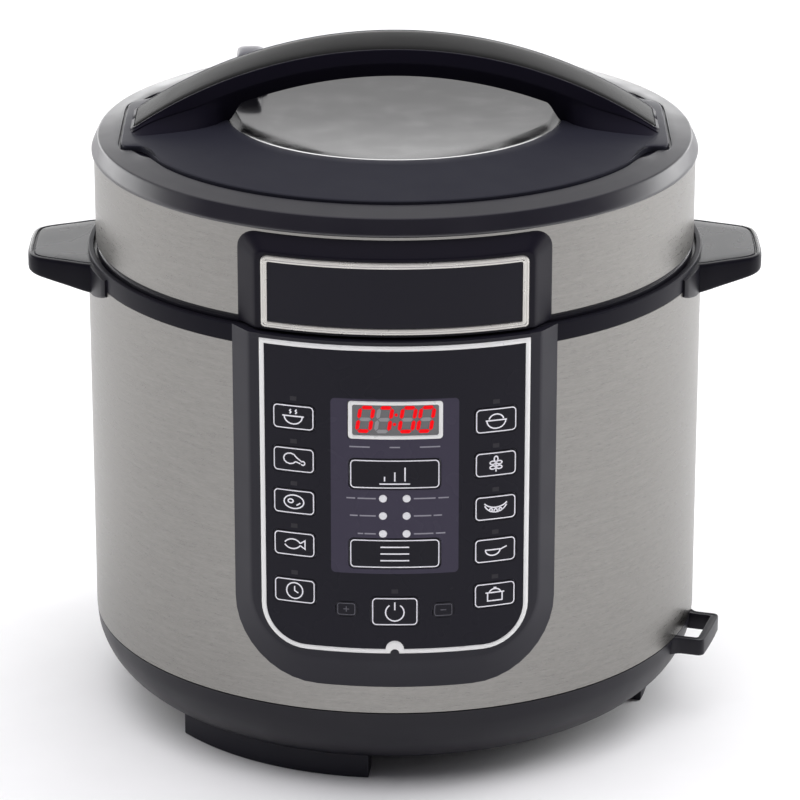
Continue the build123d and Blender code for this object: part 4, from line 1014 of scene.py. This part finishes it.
def arch_section(x):
    """Right half of the handle's section at a distance from the middle, from the top centre down."""
    far = abs(x)
    drop = 6.5 + (1.8 - 6.5) * smooth_step(far, 86, 119)
    crease = 19.0 - end_trim(far, 4.2)
    lip = 17.75 - end_trim(far, 4.0)
    strip = 16.4 - end_trim(far, 3.0, STRIP_END + 0.35) if far < STRIP_END + 0.35 else 0.2
    crown = 210.9 if far < STRIP_END + 0.2 else 211.95
    top = [(0, crown), (strip * 0.5, crown), (strip - 0.15, crown), (strip, 211.75), (strip + 0.12, 212.0),
           (strip + 0.35, 212.12), (lip - 0.45, 212.12), (lip - 0.12, 211.95), (lip, 211.5)]
    upper = [(y, on_arch(radius, far)) for y, radius in top]
    seam = on_arch(212.8 - drop, far)
    side = [between(upper[-1], (crease, seam), t) for t in (0.33, 0.66, 0.92)]
    side += [(crease, seam - 0.15), (crease - 0.12, seam - 0.55)]
    leg = smooth_step(far, 69.5, 77.5)
    under = on_arch(199.0, far)
    bottom = under + (cover_z(min(far, 122)) - 1.2 - under) * leg
    wide = 15.5 + (foot_width(far) - 15.5) * smooth_step(far, 75.5, 82.0)
    if far >= 82:
        wide = foot_width(far) - end_trim(far, 5.0)
    y, z = side[-1]
    lower = []
    for t in (0.25, 0.5, 0.75, 0.92):
        bend = t ** 1.25 if far > 76 else t
        lower.append((y + (wide - y) * bend, z + (bottom + 0.3 - z) * t))
    lower += [(wide - 0.1, bottom + 0.15), (wide - 0.6, bottom), (wide * 0.5, bottom), (0, bottom)]
    return upper + side + lower


def mirrored(half, x):
    """Closed section at x from its right half, which starts and ends in the middle."""
    return [(x, y, z) for y, z in half] + [(x, -y, z) for y, z in reversed(half[1:-1])]


# stations that close up towards the rounded ends
END_STEPS = [116.5, 117.2, 117.8, 118.3, 118.8, 119.2, 119.5, 119.8, 119.95, 120.1,
             120.16, 120.4, 120.7, 120.95, 121.15, 121.3, 121.4, 121.47, ARCH_END]
stations = {*END_STEPS, *(69 + i * 1.0 for i in range(48)), *(i * 2.3 for i in range(30))}
loops = [mirrored(arch_section(x), x) for x in sorted({-x for x in stations} | stations)]
piece("handle_arch", *loft(loops, cap=(True, True)), "lid", handle_black, "handle_plastic", "handle_body",
      sharp=34)

STRIP_STEPS = [0.0, 0.04, 0.15, 0.35, 0.65, 1.0, 1.4, 1.8, 2.3, 3.0]
# shares of the strip's half width and arc radii, over the crowned top and down the side
STRIP_SECTION = [(0, 212.72), (0.38, 212.68), (0.7, 212.6), (0.91, 212.45), (0.975, 212.25), (0.997, 211.9),
                 (1.0, 211.3), (1.0, 210.95), (0, 210.95)]


def strip_section(x):
    """Section of the glossy strip, which narrows and dips at its ends."""
    wide = 16.0 - end_trim(abs(x), 3.0, STRIP_END)
    sunk = max(0.0, 0.45 - (STRIP_END - abs(x))) ** 2 * 2
    return [(share * wide, on_arch(r - (sunk if r > 211.5 else 0), x)) for share, r in STRIP_SECTION]


stations = [-STRIP_END + step for step in STRIP_STEPS] + [-114 + i * 228 / 120 for i in range(121)]
stations += [STRIP_END - step for step in reversed(STRIP_STEPS)]
loops = [mirrored(strip_section(x), x) for x in stations]
piece("handle_top_strip", *loft(loops, cap=(True, True)), "lid", strip_gloss, "strip_gloss", "handle_strip",
      sharp=34)


# ---------------------------------------------------------------- spoon holder
SPOON_AZIMUTH = 73.3


def beside(u, v, z):
    """Point at a distance out and across from the spoon holder's direction."""
    turn = radians(SPOON_AZIMUTH)
    return (u * sin(turn) + v * cos(turn), -u * cos(turn) + v * sin(turn), z)


def spoon_loop():
    """U-shaped bar with rounded outer corners, flared roots and softened edges."""
    outer = [(139.8, -20.0), (141.4, -19.4), (142.6, -18.4), (143.8, -17.5), (145.2, -17.05), (149.0, -17.0)]
    outer += arc(153.2, -14.2, 2.8, 2.8, -90, 0, 6) + [(156.25, -7.0), (156.35, 0.0)]
    inner = [(u, -13.5) for u in (139.8, 141.4, 142.6, 143.8, 145.2, 148.6)]
    inner += arc(151.3, -12.3, 1.2, 1.2, -90, 0, 6) + [(152.55, -7.0), (152.55, 0.0)]
    outer += [(u, -v) for u, v in reversed(outer[:-1])]
    inner += [(u, -v) for u, v in reversed(inner[:-1])]
    low, high = 34.0, 42.0
    section = [
        (0.0, low + 0.7), (0.05, low + 0.2), (0.2, low), (0.8, low), (0.95, low + 0.2), (1.0, low + 0.7),
        (1.0, high - 0.5), (0.96, high - 0.12), (0.86, high), (0.72, high - 0.22), (0.28, high - 0.22),
        (0.14, high), (0.04, high - 0.12), (0.0, high - 0.5)]
    loops = []
    for a, b in zip(outer, inner):
        root_rise = 0.5 * max(0.0, (144.0 - a[0]) / 4.0)
        loops.append([beside(*between(a, b, share), z + (root_rise if z > high - 1 else 0.0))
                      for share, z in section])
    return loft(loops, cap=(True, True))


piece("spoon_loop", *spoon_loop(), "base", shell_black, "shell_plastic", "spoon_holder", sharp=50)


# ---------------------------------------------------------------- back: power inlet and water cup
def divided(outline, step=3.0):
    """Closed outline with more points along its straight sides."""
    full = []
    for here, after in zip(outline, outline[1:] + outline[:1]):
        count = max(1, int(hypot(after[0] - here[0], after[1] - here[1]) / step))
        full += [between(here, after, k / count) for k in range(count)]
    return full


def upright(rows, corner, wrapped=False):
    """Rounded rectangles from rows of half width, low, high and depth, flat or wrapped on a cylinder."""
    half_width, half_height = rows[0][0], (rows[0][2] - rows[0][1]) / 2
    outline = divided(round_box(half_width, half_height, corner))
    loops = []
    for half, low, high, y in rows:
        loop = []
        for u, v in outline:
            x, z = u / half_width * half, (low + high) / 2 + v / half_height * (high - low) / 2
            loop.append((x, sqrt(y * y - x * x) if wrapped else y, z))
        loops.append(loop)
    return loops


inlet = upright([
    (14.9, 16.6, 39.9, 121.4), (14.9, 16.6, 39.9, INLET_FACE - 0.6), (14.7, 16.8, 39.7, INLET_FACE - 0.15),
    (14.3, 17.2, 39.3, INLET_FACE), (13.1, 19.2, 37.3, INLET_FACE), (12.75, 19.5, 37.0, INLET_FACE - 0.15),
    (12.6, 19.65, 36.85, INLET_FACE - 0.6), (12.45, 19.8, 36.7, INLET_FACE - 15.4),
    (11.9, 20.3, 36.2, INLET_FACE - 15.9)], 1.6)
piece("inlet_socket", *loft(inlet, cap=(True, True)), "base", inlet_black, "inlet_plastic", "power_inlet",
      sharp=40)

verts, faces = [], []
for x, z in ((-7, 30.25), (0, 26.25), (7, 30.25)):
    blade = upright([
        (1.0, z - 2, z + 2, INLET_FACE - 16), (1.0, z - 2, z + 2, PIN_TIP - 1.2),
        (0.55, z - 1.4, z + 1.4, PIN_TIP)], 0.3)
    more, cells = loft(blade, cap=(True, True))
    faces += [tuple(i + len(verts) for i in cell) for cell in cells]
    verts += [(vx + x, vy, vz) for vx, vy, vz in more]
piece("inlet_blades", verts, faces, "base", pin_brass, "pin_brass", "inlet_pins", sharp=40)

collar = upright([
    (30.0, 155.0, 209.0, 143.05), (30.0, 155.0, 209.0, 143.5), (29.7, 155.3, 208.7, 144.0),
    (29.0, 156.0, 208.0, 144.2), (26.2, 158.8, 205.2, 144.2), (25.7, 159.3, 204.7, 143.9),
    (25.5, 159.5, 204.5, 143.3), (25.5, 159.5, 204.5, 136.0)], 3.0, wrapped=True)
collar += [[(x, y, z) for x, _, z in collar[-1]] for y in (126.0, 119.6)]
piece("dock_collar", *loft(collar, cap=(False, True)), "base", shell_black, "shell_plastic", "cup_dock",
      sharp=40)


def scoop(x, z):
    """Depth of the finger scoop in the lower part of the cup's front."""
    away = hypot(x / 17.0, (z - 160.0) / 15.0)
    return 3.4 * (1 - smooth_step(away, 0.45, 1.0))


def cup_front():
    """Loops of the cup's front, from its back edge over the rounded rim to the middle of its face."""
    face = 149.6
    loops = upright([
        (28.6, 157.4, 206.8, 144.9), (28.9, 157.1, 207.0, 145.3), (28.9, 157.1, 207.0, 148.2),
        (28.7, 157.3, 206.8, 148.8), (28.2, 157.8, 206.3, 149.3), (27.4, 158.6, 205.5, 149.55)],
        4.0, wrapped=True)
    for share in [0.92 - i * 0.06 for i in range(15)] + [0.02]:
        loop = []
        for u, v in divided(round_box(28.6, 24.7, 4.0)):
            x, z = u / 28.6 * 27.4 * share, 182.05 + v / 24.7 * 23.45 * share
            radius = face - scoop(x, z)
            loop.append((x, sqrt(radius * radius - x * x), z))
        loops.append(loop)
    return loops


piece("cup_face", *loft(cup_front(), cap=(True, True)), "cup", cup_smoke, "cup_plastic", "condensation_cup",
      sharp=40)
tray = upright([(24.9, 160.2, 203.8, 144.9), (24.9, 160.2, 203.8, 121.0), (24.4, 160.7, 203.3, 120.2)], 3.0)
tray = piece("cup_tray", *loft(tray, cap=(True, True)), "cup", cup_smoke, "cup_plastic", sharp=40)
cut(tray, (-23.3, 121.9, 161.9), (23.3, 143.4, 212.0))


# ---------------------------------------------------------------- valve and float
def turned(name, place, corners, *rest):
    """Turned piece standing at a place on the lid."""
    verts, faces = lathe(rounded(corners), count=64)
    piece(name, [(x + place[0], y + place[1], z) for x, y, z in verts], faces, *rest, sharp=40)


turned("grip_knob", VALVE_PLACE, [
    (6.5, 283.1, 0.2), (9.3, 283.1, 0.5), (9.3, 287.4, 1.2), (8.4, 289.3, 0.8), (0.0, 289.3, 0),
    (0.0, 288.2, 0), (6.5, 288.2, 0.2)], "valve", handle_black, "handle_plastic", "valve_grip")


def wing():
    """Finger wing of the valve: crowned on top, waisted above the knob, with rounded ends."""
    section = ((0.0, 1.0), (0.45, 0.985), (0.78, 0.94), (0.95, 0.86), (1.0, 0.76), (0.97, 0.62), (0.86, 0.4),
               (0.72, 0.18), (0.68, 0.0))
    low, high = 287.6, 296.1
    at_x, at_y = VALVE_PLACE
    loops = []
    for i in range(33):
        t = -1 + i / 16
        end = max(0.0, (abs(t) - 0.62) / 0.38)
        wide = 6.2 * max(sqrt(max(0.0, 1 - end**2.2)), 0.12)
        y = at_y + 11.7 * sin(t * pi / 2)
        rise = high - 2.6 * abs(t) ** 2.4 - low
        half = [(wide * share, low + rise * level) for share, level in section]
        loops.append([(at_x + x, y, z) for x, z in half] + [(at_x - x, y, z) for x, z in reversed(half[1:])])
    return loft(loops, cap=(True, True))


piece("grip_wing", *wing(), "valve", grip_grey, "handle_plastic", sharp=50)
turned("valve_plug", VALVE_PLACE, [
    (3.9, 283.2, 0.3), (5.6, 283.2, 0.5), (6.35, 284.6, 0.4), (6.35, 289.0, 0.3), (0.0, 289.0, 0),
    (0.0, 287.2, 0), (3.9, 287.2, 0.2)], "valve", steel_turned, "screw_steel", "valve_weight")
turned("steam_pipe", VALVE_PLACE, [
    (1.3, 236.7, 0), (3.4, 236.7, 0.2), (3.4, 238.0, 0), (5.9, 238.1, 0.5), (5.9, 240.9, 0.7),
    (3.5, 240.9, 0.3), (3.3, 262.0, 0.2), (2.9, 263.0, 0.2), (2.9, 266.0, 0.2), (3.35, 267.0, 0.2),
    (3.35, 285.6, 0.6), (2.4, 286.4, 0.3), (1.3, 286.4, 0.2)],
    "lid", steel_turned, "screw_steel", "vent_pipe")
turned("float_pin_turned", FLOAT_PLACE, [
    (0.0, 230.1, 0), (3.6, 230.1, 0.4), (3.6, 231.1, 0.3), (2.55, 231.3, 0.2), (2.55, 238.5, 0.2),
    (4.3, 238.5, 0.3), (4.3, 239.5, 0.4), (2.55, 239.8, 0.3), (2.55, 281.2, 0.7), (1.9, 281.85, 0.4),
    (0.0, 281.7, 0)],
    "float", steel_turned, "screw_steel", "float_pin")
turned("float_ring", FLOAT_PLACE, [
    (2.62, 231.3, 0.3), (3.85, 231.3, 0.6), (3.85, 233.1, 0.6), (2.62, 233.1, 0.3)],
    "float", silicone, "seal_silicone", "float_gasket")


# ---------------------------------------------------------------- finishes of the CAD nodes that stay
KEPT = {
    shell_black: ("bottom_cover",), steel_turned: ("cover_screws", "pressure_lid", "seal_rack"),
    cast_grey: ("heating_plate", "temperature_sensor"), board_green: ("power_board", "control_board"),
    liner_grey: ("outer_pot",), lock_black: ("locking_ring",), pot_coat: ("inner_pot",),
    inlet_black: ("display_module",), fascia_gloss: ("fascia",), print_grey: ("key_membrane",),
    silicone: ("sealing_ring",),
}
for finish, nodes in KEPT.items():
    for node in nodes:
        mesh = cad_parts[node].data
        mesh.materials.clear()
        mesh.materials.append(finish)

# ---------------------------------------------------------------- floor, light and camera
paper = cast("paper_white", (0.93, 0.93, 0.93), 0.9, metallic=0.0, size=300, strength=0.01, tone=0.01)
bpy.ops.mesh.primitive_plane_add(size=14, location=(0, 0, 0))
floor = bpy.context.object
floor.name = "floor"
floor.data.materials.append(paper)

world = bpy.data.worlds.new("studio")
bpy.context.scene.world = world
world.use_nodes = True
sky = Nodes(world)
toward = sky.add("ShaderNodeSeparateXYZ", {0: sky.add("ShaderNodeTexCoord").outputs["Generated"]})


def by_height(stops, tint=(1, 1, 1)):
    """Brightness of the room by the height of a direction, 0 at the horizon and 1 overhead."""
    ramp = sky.add("ShaderNodeValToRGB", {"Fac": toward.outputs["Z"]})
    for i, (height, level) in enumerate(stops):
        element = ramp.color_ramp.elements[i] if i < 2 else ramp.color_ramp.elements.new(height)
        element.position = height
        element.color = (*(level * part for part in tint), 1)
    return ramp.outputs["Color"]


# white room: bright backdrop and sides, dim above the backdrop and behind the camera
ahead = by_height((
    (0.0, 4.2), (1.0, 0.8), (0.12, 4.0), (0.18, 2.7), (0.235, 1.1), (0.28, 0.68), (0.345, 0.55), (0.42, 0.5),
    (0.52, 0.6), (0.6, 0.62)))
behind = by_height(((0.0, 0.35), (1.0, 0.8), (0.1, 0.12), (0.6, 0.09)), (1.0, 0.96, 1.08))
room = sky.mix(sky.spread(toward.outputs["Y"], 0.0, 1.0, -0.05, 0.5), behind, ahead)
glow = sky.spread(sky.math("ABSOLUTE", toward.outputs["X"]), 1.0, 1.15, 0.25, 0.9)
for socket, source in (("Color", room), ("Strength", glow)):
    sky.tree.links.new(source, sky.tree.nodes["Background"].inputs[socket])


def softbox(name, place, target, wide, tall, watts):
    """Soft area light that is not seen in glossy surfaces."""
    lamp = bpy.data.lights.new(name, "AREA")
    lamp.shape = "RECTANGLE"
    lamp.size = wide
    lamp.size_y = tall
    lamp.energy = watts
    made = bpy.data.objects.new(name, lamp)
    made.location = place
    made.rotation_euler = (Vector(target) - Vector(place)).to_track_quat("-Z", "Y").to_euler()
    made.visible_glossy = False
    bpy.context.scene.collection.objects.link(made)


softbox("softbox_left", (-1.7, 0.5, 0.8), (0, 0, 0.15), 0.9, 1.2, 10)
softbox("softbox_right", (1.7, 0.5, 0.8), (0, 0, 0.15), 0.9, 1.2, 22)
softbox("overhead_fill", (0, -0.2, 2.6), (0, -0.1, 0), 3.8, 3.8, 72)

eye = bpy.data.cameras.new("camera")
eye.lens = 190.97
eye.sensor_width = 36
eye.shift_x = 0.0065
camera = bpy.data.objects.new("camera", eye)
camera.location = (0, -1.8875, 0.8346)
camera.rotation_euler = (radians(90 - 20.21), 0, 0)
bpy.context.scene.collection.objects.link(camera)
bpy.context.scene.camera = camera
bpy.context.scene.view_settings.view_transform = "Standard"
